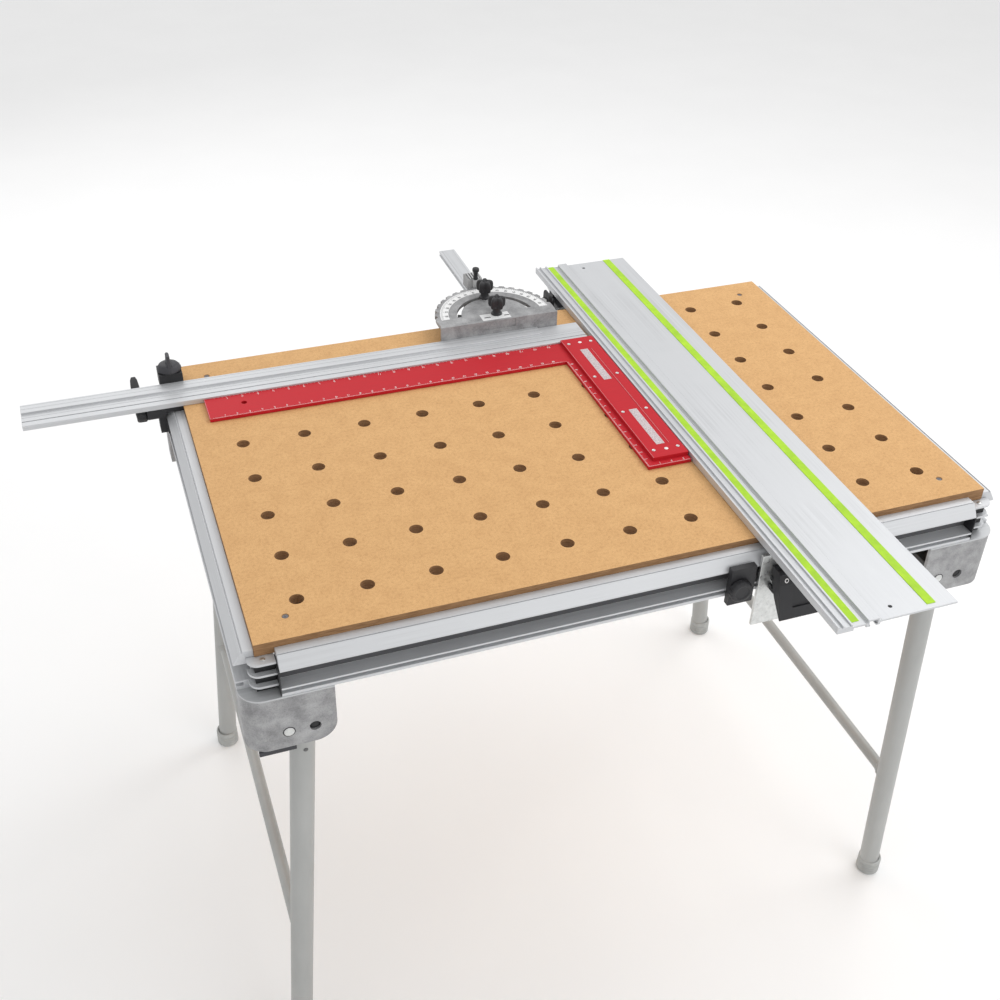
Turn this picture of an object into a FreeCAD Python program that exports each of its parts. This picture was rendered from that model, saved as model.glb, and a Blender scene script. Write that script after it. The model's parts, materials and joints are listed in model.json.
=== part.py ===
import FreeCAD, Part
import os
import re
import Sketcher

# A folding sawing and clamping table: perforated board in an aluminium profile frame on four folding legs,
# with a flip-up guide rail, a mitre fence with its protractor head, and a setting square lying on the board.
# Millimetres. X runs to the right along the table, Y to the rear, Z up. The origin is on the floor under
# the centre dog hole of the board.

Vector = FreeCAD.Vector
doc = FreeCAD.newDocument("SawingTable")

# ---------------------------------------------------------------------------------------------------------
# Driving dimensions
# ---------------------------------------------------------------------------------------------------------
SIZES = {
    # board
    "board_length": 1102, "board_width": 718, "board_thickness": 19, "table_height": 900,
    "dog_radius": 10, "dog_pitch": 96, "dog_columns": 11, "dog_rows": 7,
    "board_screw_inset_x": 50, "board_screw_inset_y": 43, "board_screw_radius": 5,
    # frame profiles and corners
    "profile_depth": 27.5, "profile_height": 62, "board_rise": 10, "ledge_reach": 24, "ledge_thickness": 8,
    "profile_neck": 7, "slot_depth": 21, "slot_opening": 28, "slot_floor": 14, "lower_recess": 10.5,
    "top_slope": 11, "line_width": 1.5, "line_depth": 2, "side_gap": 26, "side_end_gap": 3, "frame_fit": 0.5,
    "rib_pitch": 19, "rib_low": 10.5, "rib_thickness": 3.5, "corner_reach": 16.5, "corner_radius": 14,
    "corner_inset": 16.5, "core_setback": 8, "core_height": 52, "cap_thickness": 1.5,
    # leg brackets; the insets count inwards from the frame's outer face
    "bracket_width": 121, "bracket_depth": 61, "bracket_height": 93, "bracket_wall": 6, "bracket_inset": 1,
    "bracket_corner": 30, "bracket_heel": 30, "pivot_drop": 65, "pin_radius": 6.5, "lock_radius": 7.8,
    "lock_floor": 1.5, "left_pivot_inset": 57.5, "right_pivot_inset": 92.5, "lock_offset": 35,
    # legs
    "leg_radius": 17.5, "leg_wall": 2, "leg_top_inset": 81.5, "leg_splay": 4.1, "head_drop": 38,
    "head_rise": 22, "head_side": 17, "left_head_reach": 36, "cap_radius": 21,
    "cap_height": 34, "cap_floor": 26, "stretcher_radius": 10,
    "stretcher_height": 267, "running_gap": 0.05, "moving_gap": 1, "knob_gap": 0.3,
    "stud_radius": 3, "stud_length": 9, "leg_knob_radius": 19, "leg_knob_length": 22,
    # guide rail
    "rail_left": 162, "rail_width": 184, "rail_overhang": 186.5, "rail_rear_reach": 125.5, "rail_lift": 1,
    "rail_deck": 7, "rail_rise": 4.5, "rail_plate": 3, "ridge_width": 2.5, "strip_width": 13.5,
    "strip_thickness": 0.8, "strip_one": 23, "strip_two": 141, "strip_margin": 8,
    "rail_hole_x": 92, "rail_hole_inset": 20, "rail_hole_radius": 3,
    # rail supports; the drops count down from the board's top
    "plate_thickness": 5, "plate_reach": 4, "plate_width": 92, "plate_height": 128, "plate_drop": 9,
    "box_inset": 14, "box_width": 64, "box_drop": 28, "box_height": 73, "box_depth": 21, "box_lean": 19,
    "box_shell": 17, "panel_depth": 3, "slide_gap": 0.3, "carriage_drop": 93, "catch_width": 30,
    "clamp_gap": 10, "clamp_width": 39, "clamp_drop": 18.5, "clamp_height": 63.5, "clamp_depth": 10,
    "clamp_knob_radius": 17.5, "clamp_knob_depth": 11, "clamp_knob_drop": 3,
    "hinge_setback": 83.5, "hinge_drop": 10, "hinge_pin_radius": 5, "ear_radius": 8.7, "ear_width": 10,
    "knuckle_width": 14, "knuckle_radius": 8, "hinge_inset": 13, "hinge_span": 120,
    "rear_knob_setback": 18.5, "rear_knob_radius": 13, "rear_knob_drop": 20,
    # fence
    "fence_end_gap": 7, "fence_length": 952, "fence_setback": 126.5, "fence_width": 59, "fence_lift": 0.4,
    "fence_deck": 8.6, "fence_rise": 3, "fence_step": 35, "fence_groove": 3, "fence_bar_gap": 75,
    # protractor head
    "pivot_x": 10, "pivot_setback": 22.5, "head_radius": 108, "head_stand": 37, "head_plate": 6.5,
    "head_wall": 5, "arc_slot_radius": 65, "arc_slot_width": 8, "arc_slot_angle": 84, "notch_radius": 4.5,
    "notch_step": 10, "scale_inner": 84, "scale_outer": 99, "scale_thickness": 0.5, "label_length": 52,
    "label_width": 22, "label_left": 30, "label_back": 3, "wall_panel": 1.5, "wall_panel_half": 29,
    "bar_width": 30, "bar_thickness": 10, "bar_reach": 286, "saddle_depth": 36, "screw_radius": 3,
    "screw_reach": 15, "lobe_radius": 17, "lobe_height": 20, "knob_stem": 13, "index_radius": 4,
    "index_gap": 0.5,
    # fence clamp at the left end
    "jaw_width": 38, "jaw_outset": 9, "jaw_depth": 36, "jaw_stand": 27, "jaw_drop": 0.8, "jaw_reach": 30,
    "arm_height": 16, "arm_boss_radius": 13, "dial_radius": 20, "dial_height": 9, "fin_height": 27,
    "fin_thickness": 6, "lever_length": 82, "lever_width": 16, "lever_thickness": 8, "lever_rise": 16,
    # setting square
    "square_clearance": 2, "blade_length": 678, "blade_width": 62, "tongue_width": 72, "tongue_length": 393.1,
    "square_thickness": 6, "cheek_width": 59, "cheek_thickness": 6, "cheek_front": 12, "square_gap": 0.4,
    "pad_left": 20, "pad_width": 14, "pad_length": 105, "pad_one": 32, "pad_two": 235, "square_screw_radius": 3,
    "square_screw_inset": 9, "square_screw_first": 19, "square_screw_pitch": 115,
}

sheet = doc.addObject("Spreadsheet::Sheet", "Sizes")
for row, (name, value) in enumerate(SIZES.items(), start=1):
    sheet.set(f"A{row}", name.replace("_", " "))
    sheet.set(f"B{row}", str(value))
    sheet.setAlias(f"B{row}", name)

# Lengths and heights worked out from the driving ones, written as expressions over their names.
DERIVED = {
    "board_x": "board_length / 2", "board_y": "board_width / 2",
    "frame_x": "board_x + profile_depth", "frame_y": "board_y + profile_depth",
    "frame_top": "table_height - board_rise", "frame_bottom": "frame_top - profile_height",
    "board_bottom": "table_height - board_thickness", "front_end_x": "board_x - side_gap",
    # brackets and legs
    "pivot_z": "frame_bottom - pivot_drop", "leg_y": "frame_y - bracket_depth / 2",
    "left_pivot_x": "frame_x - left_pivot_inset", "right_pivot_x": "frame_x - right_pivot_inset",
    "leg_top_x": "frame_x - leg_top_inset", "foot_x": "leg_top_x + pivot_z * tan(leg_splay * 1deg)",
    "hollow_corner": "bracket_corner - bracket_wall",
    # rail and its supports
    "rail_front": "-frame_y - rail_overhang", "rail_back": "frame_y + rail_rear_reach",
    "rail_base": "table_height + rail_lift", "rail_top": "rail_base + rail_deck",
    "rail_rib": "rail_top + rail_rise", "plate_left": "rail_left - plate_reach",
    "plate_top": "table_height - plate_drop", "plate_bottom": "plate_top - plate_height",
    "box_left": "rail_left + box_inset", "box_bottom": "table_height - box_drop - box_height",
    "carriage_bottom": "table_height - carriage_drop", "clamp_left": "plate_left - clamp_gap - clamp_width",
    "clamp_bottom": "table_height - clamp_drop - clamp_height", "hinge_left": "rail_left + hinge_inset",
    "hinge_y": "frame_y + hinge_setback", "hinge_height": "table_height - hinge_drop",
    "rear_knob_x": "plate_left - rear_knob_radius", "rear_knob_y": "frame_y + rear_knob_setback",
    "rear_knob_base": "table_height - rear_knob_drop",
    # fence, head and fence clamp
    "fence_left": "rail_left - fence_end_gap - fence_length", "fence_front": "board_y - fence_setback",
    "fence_base": "table_height + fence_lift", "fence_low": "fence_base + fence_deck",
    "fence_high": "fence_low + fence_rise", "fence_bar_right": "rail_left - fence_end_gap - fence_bar_gap",
    "pivot_y": "fence_front + fence_width + pivot_setback", "head_top": "table_height + head_stand",
    "bar_base": "head_top - head_plate - square_gap - bar_thickness", "bar_end": "pivot_y + bar_reach",
    "jaw_x": "-board_x - jaw_outset", "jaw_top": "table_height + jaw_stand", "jaw_floor": "table_height - jaw_drop",
    # setting square
    "square_right": "rail_left - square_clearance", "blade_left": "square_right - blade_length",
    "tongue_front": "fence_front - square_gap - tongue_length",
}
for row, (name, text) in enumerate(DERIVED.items(), start=len(SIZES) + 1):
    sheet.set(f"A{row}", name.replace("_", " "))
    sheet.set(f"B{row}", "=" + text)
    sheet.setAlias(f"B{row}", name)
doc.recompute()
NAMES = set(SIZES) | set(DERIVED)


def sized(text):
    """An expression over the names above, as FreeCAD reads it from outside the sheet."""
    return re.sub(r"[a-z][a-z_]+", lambda m: "Sizes." + m[0] if m[0] in NAMES else m[0], str(text))


def value(name):
    """The present value of one named size."""
    return float(getattr(sheet, name))


# ---------------------------------------------------------------------------------------------------------
# Building blocks: every length and place is bound to the sheet
# ---------------------------------------------------------------------------------------------------------
TURNS = {"x": (Vector(0, 1, 0), 90), "y": (Vector(1, 0, 0), -90), "z": (Vector(0, 0, 1), 0)}
PLANES = {"x": "YZ_Plane", "y": "XZ_Plane", "z": "XY_Plane"}
counter = {"made": 0}


def new(kind, hint):
    counter["made"] += 1
    return doc.addObject(kind, f"{hint}{counter['made']}")


def bind(obj, **sizes):
    for prop, text in sizes.items():
        obj.setExpression(prop, sized(text))
    return obj


def at(obj, x=0, y=0, z=0):
    for letter, text in zip("xyz", (x, y, z)):
        obj.setExpression(f"Placement.Base.{letter}", sized(text))
    return obj


def block(x, y, z):
    """A box given by its low and high side along each axis."""
    obj = bind(new("Part::Box", "Block"), Length=f"({x[1]}) - ({x[0]})", Width=f"({y[1]}) - ({y[0]})",
               Height=f"({z[1]}) - ({z[0]})")
    return at(obj, x[0], y[0], z[0])


def rod(axis, radius, low, high, first, second):
    """A cylinder along an axis from low to high; first and second place it across, in X, Y, Z order."""
    obj = bind(new("Part::Cylinder", "Rod"), Radius=radius, Height=f"({high}) - ({low})")
    obj.Placement.Rotation = FreeCAD.Rotation(*TURNS[axis])
    spots = {"x": (low, first, second), "y": (first, low, second), "z": (first, second, low)}
    return at(obj, *spots[axis])


def cone(radius_low, radius_high, low, high, x, y):
    obj = bind(new("Part::Cone", "Taper"), Radius1=radius_low, Radius2=radius_high,
               Height=f"({high}) - ({low})")
    return at(obj, x, y, low)


def outline(sketch, points):
    """A closed outline whose every corner is held by two dimensions bound to the sheet."""
    spots = [Vector(0.1 * i, 0.01 * i * i, 0) for i in range(len(points))]
    first = sketch.GeometryCount
    for i, spot in enumerate(spots):
        sketch.addGeometry(Part.LineSegment(spot, spots[(i + 1) % len(spots)]), False)
    for i in range(len(points)):
        after = first + (i + 1) % len(points)
        sketch.addConstraint(Sketcher.Constraint("Coincident", first + i, 2, after, 1))
    for i, point in enumerate(points):
        for kind, text in zip(("DistanceX", "DistanceY"), point):
            index = sketch.addConstraint(Sketcher.Constraint(kind, -1, 1, first + i, 1, 1.0 + i))
            sketch.setExpression(f"Constraints[{index}]", sized(text))


def prism(axis, low, high, *outlines):
    """A body padded along an axis from low to high; outlines after the first are holes through it."""
    body = new("PartDesign::Body", "Body")
    sketch = body.newObject("Sketcher::SketchObject", f"Section{counter['made']}")
    plane = next(f for f in body.Origin.OriginFeatures if f.Role == PLANES[axis])
    sketch.AttachmentSupport, sketch.MapMode = (plane, ""), "FlatFace"
    for points in outlines:
        outline(sketch, points)
    pad = body.newObject("PartDesign::Pad", f"Pad{counter['made']}")
    pad.Profile = sketch
    pad.Reversed = axis == "y"
    bind(pad, Length=f"({high}) - ({low})")
    return at(body, **{axis: low})


def fuse(*objs):
    obj = new("Part::MultiFuse", "Fuse")
    obj.Shapes, obj.Refine = list(objs), True
    return obj


def cut(base, *tools):
    obj = new("Part::Cut", "Cut")
    obj.Base, obj.Tool = base, tools[0] if len(tools) == 1 else group(*tools)
    return obj


def common(first, second):
    obj = new("Part::Common", "Common")
    obj.Base, obj.Tool = first, second
    return obj


def group(*objs):
    """Separate solids that share one node."""
    obj = new("Part::Compound", "Group")
    obj.Links = list(objs)
    return obj


def mirror(source, normal):
    obj = new("Part::Mirroring", "Mirror")
    obj.Source, obj.Normal = source, Vector(*normal)
    return obj


LEFT, REAR = (1, 0, 0), (0, 1, 0)


def stud(axis, face, first, second, outwards=1, bore=False):
    """A knob's stud standing on a face, or with bore the running hole that the knob has for it."""
    growth = "running_gap" if bore else "0"
    near, far = f"{face} - {outwards}", f"{face} + ({outwards}) * (knob_gap + stud_length + {growth})"
    low, high = (near, far) if outwards > 0 else (far, near)
    return rod(axis, f"stud_radius + {growth}", low, high, first, second)


def rounded(base, radius, chosen):
    """Fillets the edges that the test chooses by their two end points."""
    doc.recompute()
    obj = new("Part::Fillet", "Round")
    obj.Base = base
    edges = base.Shape.Edges
    obj.Edges = [(i, value(radius), value(radius)) for i, edge in enumerate(edges, start=1)
                 if len(edge.Vertexes) == 2 and chosen(*[v.Point for v in edge.Vertexes])]
    return obj


PIECES = {}


def piece(name, obj):
    PIECES[name] = obj
    return obj


# ---------------------------------------------------------------------------------------------------------
# Board and frame
# ---------------------------------------------------------------------------------------------------------
def dog_holes():
    """The grid of dog holes that are cut from the board."""
    return [rod("z", "dog_radius", "board_bottom - 1", "table_height + 1",
                f"({column} - (dog_columns - 1) / 2) * dog_pitch", f"({row} - (dog_rows - 1) / 2) * dog_pitch")
            for column in range(int(value("dog_columns"))) for row in range(int(value("dog_rows")))]


def screw_spots():
    for sx in (-1, 1):
        for sy in (-1, 1):
            yield f"{sx} * (board_x - board_screw_inset_x)", f"{sy} * (board_y - board_screw_inset_y)"


def board():
    slab = block(("-board_x", "board_x"), ("-board_y", "board_y"), ("board_bottom", "table_height"))
    sockets = [cone("board_screw_radius / 2", "board_screw_radius", "table_height - 4", "table_height + 0.01", x, y)
               for x, y in screw_spots()]
    piece("top_board", cut(slab, *dog_holes(), *sockets))
    screws = [cone("board_screw_radius / 2", "board_screw_radius * 0.9", "table_height - 4",
                   "table_height - 0.5", x, y) for x, y in screw_spots()]
    piece("board_screws", group(*screws))


def profile_outline(inner):
    """Section of a frame profile, outwards from the board's edge at inner, with its two outer grooves."""
    outer = f"{inner} + profile_depth"
    ledge = f"{inner} - ledge_reach"
    neck = f"{inner} - profile_neck"
    groove_floor, step_floor = f"{outer} - slot_depth", f"{outer} - lower_recess"
    line_start, line_end = f"{outer} - top_slope - 1", f"{outer} - top_slope - 1 - line_width"
    lip_top, lip_base = "frame_bottom + slot_floor + slot_opening", "frame_bottom + slot_floor"
    return [(ledge, "board_bottom"), (ledge, "board_bottom - ledge_thickness"),
            (neck, "board_bottom - ledge_thickness"), (neck, "frame_bottom"),
            (outer, "frame_bottom"), (outer, "frame_bottom + 5"),
            (step_floor, "frame_bottom + 5"), (step_floor, f"{lip_base} - 3"), (outer, f"{lip_base} - 3"),
            (outer, lip_base), (groove_floor, lip_base), (groove_floor, lip_top),
            (outer, lip_top), (outer, f"{lip_top} + 2"), (f"{outer} - top_slope", "frame_top"),
            (line_start, "frame_top"), (line_start, "frame_top - line_depth"),
            (line_end, "frame_top - line_depth"), (line_end, "frame_top"),
            (inner, "frame_top"), (inner, "board_bottom")]


def profile_chamber(inner):
    """The closed chamber inside the section."""
    near, far = f"{inner} - 4", f"{inner} + profile_depth - slot_depth - 2.5"
    return [(near, "frame_bottom + 4"), (far, "frame_bottom + 4"),
            (far, "board_bottom - ledge_thickness"), (near, "board_bottom - ledge_thickness")]


def flipped(points):
    return [(f"-({u})", w) for u, w in points]


def profiles():
    rear = prism("x", "-front_end_x", "front_end_x", profile_outline("board_y"), profile_chamber("board_y"))
    front = prism("x", "-front_end_x", "front_end_x", flipped(profile_outline("board_y")),
                  flipped(profile_chamber("board_y")))
    front_end, rear_end = "-board_y + side_end_gap", "board_y - side_end_gap"
    right = prism("y", front_end, rear_end, profile_outline("board_x"), profile_chamber("board_x"))
    left = prism("y", front_end, rear_end, flipped(profile_outline("board_x")),
                 flipped(profile_chamber("board_x")))
    for name, body in (("profile_rear", rear), ("profile_front", front),
                       ("profile_right", right), ("profile_left", left)):
        piece(name, body)


def corners():
    """Black connector blocks in the gaps between the profiles' ends, each with three rounded metal plates."""
    start, near, far = "front_end_x + cap_thickness", "board_y - side_end_gap + frame_fit", "board_y + corner_reach"
    side = "frame_x - corner_inset"

    def outer_corner(a, b):
        return (abs(a.x - b.x) + abs(a.y - b.y) < 0.01 and a.x > value("front_end_x") + value("corner_radius")
                and a.y > value("board_y") + 1)

    heights = ("frame_bottom", "frame_bottom + core_height")
    column = block((f"{start} + 6", f"{start} + 16"), (f"{near} + 2", f"{near} + 8"),
                   ("frame_bottom", "frame_bottom + rib_low + 2 * rib_pitch"))
    plates = []
    for level in range(3):
        low = f"frame_bottom + rib_low + {level} * rib_pitch"
        plate = block((start, side), (near, far), (low, f"{low} + rib_thickness"))
        plates.append(cut(rounded(plate, "corner_radius", outer_corner), column))
    core = block((start, f"{side} - core_setback"), (near, f"{far} - core_setback"), heights)
    for name, source in (("corner_blocks", cut(core, *plates)), ("corner_ribs", group(*plates))):
        left = mirror(source, LEFT)
        piece(name, group(source, left, mirror(source, REAR), mirror(left, REAR)))


def end_caps():
    cap = block(("front_end_x", "front_end_x + cap_thickness"), ("board_y - 6", "frame_y - 0.5"),
                ("frame_bottom + 1", "board_bottom - ledge_thickness"))
    flipped_cap = mirror(cap, LEFT)
    piece("profile_end_caps", group(cap, flipped_cap, mirror(cap, REAR), mirror(flipped_cap, REAR)))


# ---------------------------------------------------------------------------------------------------------
# Leg brackets, legs and their knobs
# ---------------------------------------------------------------------------------------------------------
def bracket(pivot_x, lock_x):
    """A cast bracket under the rear right corner: two cheeks, a top and an outer wall, open below."""
    outer, inner = "frame_x - bracket_inset", "frame_x - bracket_inset - bracket_width"
    low, high = "frame_bottom - bracket_height", "frame_bottom"
    shell = block((inner, outer), ("frame_y - bracket_depth", "frame_y"), (low, high))

    def vertical_outer(a, b):
        return (abs(a.x - b.x) + abs(a.y - b.y) < 0.01 and a.x > value("frame_x") - 20
                and a.y > value("frame_y") - value("bracket_wall") - 1)

    def lower_inner(a, b):
        return (abs(a.x - b.x) + abs(a.z - b.z) < 0.01 and a.x < value("frame_x") - 100
                and a.z < value("frame_bottom") - 50)

    smooth = rounded(rounded(shell, "bracket_corner", vertical_outer), "bracket_heel", lower_inner)
    hollow = rounded(block((f"{inner} - 1", f"{outer} - bracket_wall"),
                           ("frame_y - bracket_depth + bracket_wall", "frame_y - bracket_wall"),
                           (f"{low} - 1", f"{high} - bracket_wall")), "hollow_corner", vertical_outer)
    bore = rod("y", "pin_radius", "frame_y - bracket_depth - 1", "frame_y + 1", pivot_x, "pivot_z")
    window = rod("y", "lock_radius", "frame_y - bracket_wall + lock_floor", "frame_y + 1", lock_x, "pivot_z")
    return cut(smooth, hollow, bore, window)


def pivot_pin(pivot_x, growth="0"):
    """The pin through both cheeks; its inner end carries the knob. The growth makes the knob's bore."""
    return rod("y", f"pin_radius + {growth}", f"frame_y - bracket_depth - leg_knob_length * 0.7 - {growth}",
               "frame_y + 1", pivot_x, "pivot_z")


def leg_knob(pivot_x):
    """Round clamping knob on the pivot's inner end."""
    back = "frame_y - bracket_depth - knob_gap"
    body = rod("y", "leg_knob_radius", f"{back} - leg_knob_length", back, pivot_x, "pivot_z")
    wing = block((f"{pivot_x} - leg_knob_radius - 6", f"{pivot_x} + leg_knob_radius + 6"),
                 (f"{back} - leg_knob_length - 6", f"{back} - leg_knob_length / 2"),
                 ("pivot_z - 4", "pivot_z + 4"))
    return cut(fuse(body, wing), pivot_pin(pivot_x, "running_gap"))


def leg_axis(z):
    return f"leg_top_x + (pivot_z - ({z})) * tan(leg_splay * 1deg)"


def leaning(obj):
    """Leans a piece that stands at the pivot's height on the right leg's axis outwards by the splay."""
    obj.Placement = FreeCAD.Placement(Vector(), FreeCAD.Rotation(Vector(0, 1, 0), 1))
    obj.setExpression("Placement.Rotation.Angle", sized("-leg_splay * 1deg"))
    return at(obj, "leg_top_x", "leg_y", "pivot_z")


def leg_rod(radius="leg_radius"):
    """A solid round bar along the leg, from the boot's floor up to the head."""
    length = "(pivot_z - cap_floor) / cos(leg_splay * 1deg)"
    bar = bind(new("Part::Cylinder", "Tube"), Radius=radius, Height=f"{length} - head_drop")
    return leaning(group(at(bar, 0, 0, f"-({length})")))


def leg_tube():
    return cut(leg_rod(), leg_rod("leg_radius - leg_wall"))


def leg_head(pivot_x, reach):
    """Cast block at the top of a leg, between the cheeks, with the bore that it swings on."""
    left = f"min({pivot_x} - head_side; leg_top_x - leg_radius - 1)"
    right = f"max({pivot_x} + {reach}; leg_top_x + leg_radius + 1)"
    half = "bracket_depth / 2 - bracket_wall - moving_gap"
    body = block((left, right), ("leg_y - leg_radius", "leg_y + leg_radius"),
                 ("pivot_z - head_drop + 2", "pivot_z + head_rise"))
    boss = rod("y", "pin_radius + 5", f"leg_y - ({half})", f"leg_y + {half}", pivot_x, "pivot_z")
    bore = rod("y", "pin_radius + running_gap", "leg_y - bracket_depth", "leg_y + bracket_depth", pivot_x, "pivot_z")
    below = leaning(group(at(bind(new("Part::Box", "Room"), Length=200, Width=200, Height=100),
                             -100, -100, "-head_drop - 100")))
    return cut(fuse(body, boss), bore, below)


def foot_cap():
    """Plastic boot with an upright outer wall, bored along the leaning tube."""
    outside = rod("z", "cap_radius", 0, "cap_height", "foot_x", "leg_y")
    return cut(outside, leg_rod())


def stretcher():
    """Cross tube between the front and rear leg of one side, notched to the legs."""
    bar = rod("y", "stretcher_radius", "-leg_y", "leg_y", leg_axis("stretcher_height"), "stretcher_height")
    return cut(bar, leg_rod(), mirror(leg_rod(), REAR))


def legs():
    """Both leg frames: each piece is made at the rear right, then mirrored to its own corner."""
    pins = []
    for side, pivot_x, lock_x, reach in (("left", "left_pivot_x", "left_pivot_x - lock_offset", "left_head_reach"),
                                         ("right", "right_pivot_x", "right_pivot_x + lock_offset", "head_side")):
        single = {"bracket": bracket(pivot_x, lock_x), "leg_tube": leg_tube(), "leg_knob": leg_knob(pivot_x)}
        paired = {"leg_heads": leg_head(pivot_x, reach), "foot_caps": foot_cap()}
        pin, bar = pivot_pin(pivot_x), stretcher()
        if side == "left":
            single = {name: mirror(obj, LEFT) for name, obj in single.items()}
            paired = {name: mirror(obj, LEFT) for name, obj in paired.items()}
            pin, bar = mirror(pin, LEFT), mirror(bar, LEFT)
        for name, obj in single.items():
            piece(f"{name}_rear_{side}", obj)
            piece(f"{name}_front_{side}", mirror(obj, REAR))
        for name, obj in paired.items():
            piece(f"{name}_{side}", group(obj, mirror(obj, REAR)))
        piece(f"stretcher_{side}", bar)
        pins += [pin, mirror(pin, REAR)]
    piece("pivot_pins", group(*pins))


# ---------------------------------------------------------------------------------------------------------
# Guide rail and its two height-adjustable supports
# ---------------------------------------------------------------------------------------------------------
def rail_outline():
    """Section of the rail: a thick left edge with a channel, a hollow rib, then a thin flat plate."""
    def x(offset):
        return f"rail_left + {offset}"

    under, floor = "rail_top - rail_plate", "rail_top + 1.5"
    return [(x(0), "rail_base"), (x(0), "rail_rib"), (x("ridge_width"), "rail_rib"), (x("ridge_width"), floor),
            (x(8), floor), (x(8), "rail_rib"), (x("8 + ridge_width"), "rail_rib"), (x("8 + ridge_width"), floor),
            (x(20), floor), (x(20), "rail_rib - 0.5"), (x("20 + ridge_width"), "rail_rib - 0.5"),
            (x("20 + ridge_width"), "rail_top"),
            (x(46), "rail_top"), (x(46), "rail_rib"), (x(63), "rail_rib"), (x(63), "rail_top"),
            (x("rail_width"), "rail_top"), (x("rail_width"), under),
            (x(65), under), (x(65), "rail_base"), (x(59), "rail_base"), (x(59), "rail_base + 2"),
            (x(61), "rail_base + 2"), (x(61), "rail_rib - 2.5"), (x(48), "rail_rib - 2.5"),
            (x(48), "rail_base + 2"), (x(50), "rail_base + 2"), (x(50), "rail_base"), (x(44), "rail_base"),
            (x(44), under), (x(25), under), (x(25), "rail_base")]


def guide_rail():
    bar = prism("y", "rail_front", "rail_back", rail_outline())
    holes = [rod("z", "rail_hole_radius", "rail_base - 1", "rail_rib", "rail_left + rail_hole_x", y)
             for y in ("rail_front + rail_hole_inset", "rail_back - rail_hole_inset")]
    piece("rail_profile", cut(bar, *holes))
    piece("rail_strips", group(*[block((f"rail_left + {offset}", f"rail_left + {offset} + strip_width"),
                                       ("rail_front + strip_margin", "rail_back"),
                                       ("rail_top", "rail_top + strip_thickness"))
                                 for offset in ("strip_one", "strip_two")]))


def hinge_rod(radius, low, high):
    return rod("x", radius, low, high, "hinge_y", "hinge_height")


def rail_hinge():
    """The hinge's pin and the two knuckles under the rail; returns the carriage's two ears."""
    ears, knuckles = [], []
    end = "hinge_left + hinge_span"
    for low, high, inner_low, inner_high in (
            ("hinge_left", "hinge_left + ear_width", "hinge_left + ear_width + moving_gap",
             "hinge_left + ear_width + moving_gap + knuckle_width"),
            (f"{end} - ear_width", end, f"{end} - ear_width - moving_gap - knuckle_width",
             f"{end} - ear_width - moving_gap")):
        arm = block((low, high), ("frame_y + plate_thickness + 60", "hinge_y"),
                    ("hinge_height - ear_radius - 20", "hinge_height"))
        ears.append(cut(fuse(hinge_rod("ear_radius", low, high), arm),
                        hinge_rod("hinge_pin_radius", f"{low} - 1", f"{high} + 1")))
        leaf = block((inner_low, inner_high), ("hinge_y - knuckle_radius", "hinge_y + knuckle_radius"),
                     ("hinge_height", "rail_base"))
        knuckles.append(cut(fuse(hinge_rod("knuckle_radius", inner_low, inner_high), leaf),
                            hinge_rod("hinge_pin_radius + running_gap", f"{inner_low} - 1", f"{inner_high} + 1")))
    piece("rail_hinge_knuckles", group(*knuckles))
    piece("rail_hinge_pin", hinge_rod("hinge_pin_radius", "hinge_left", end))
    return ears


def rear_support():
    ears = rail_hinge()
    face = "frame_y + plate_thickness"
    piece("rear_plate", block(("plate_left", "hinge_left + hinge_span + 10"), ("frame_y", face),
                              ("carriage_bottom - 20", "plate_top - 5")))
    slider = block(("hinge_left - 6", "hinge_left + hinge_span + 6"),
                   (f"{face} + slide_gap", f"{face} + 60"), ("carriage_bottom", "hinge_height - 12"))
    hollow = block(("hinge_left + ear_width", "hinge_left + hinge_span - ear_width"),
                   (f"{face} + 12", f"{face} + 61"), ("carriage_bottom - 1", "hinge_height - 22"))
    piece("rear_carriage", fuse(cut(slider, hollow), *ears))
    post = block(("rear_knob_x - rear_knob_radius + 1", "rear_knob_x + rear_knob_radius - 1"),
                 ("frame_y", "rear_knob_y + rear_knob_radius"),
                 ("carriage_bottom + 20", "rear_knob_base - knob_gap"))
    spot = ("z", "rear_knob_base - knob_gap", "rear_knob_x", "rear_knob_y")
    piece("rear_clamp_block", fuse(post, stud(*spot)))
    grip = rod("z", "rear_knob_radius", "rear_knob_base", "rear_knob_base + 20", "rear_knob_x", "rear_knob_y")
    wing = block(("rear_knob_x - 4", "rear_knob_x + 4"),
                 ("rear_knob_y - rear_knob_radius - 2", "rear_knob_y + rear_knob_radius + 2"),
                 ("rear_knob_base + 12", "rear_knob_base + 34"))
    piece("rear_clamp_knob", cut(fuse(grip, wing), stud(*spot, bore=True)))


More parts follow.
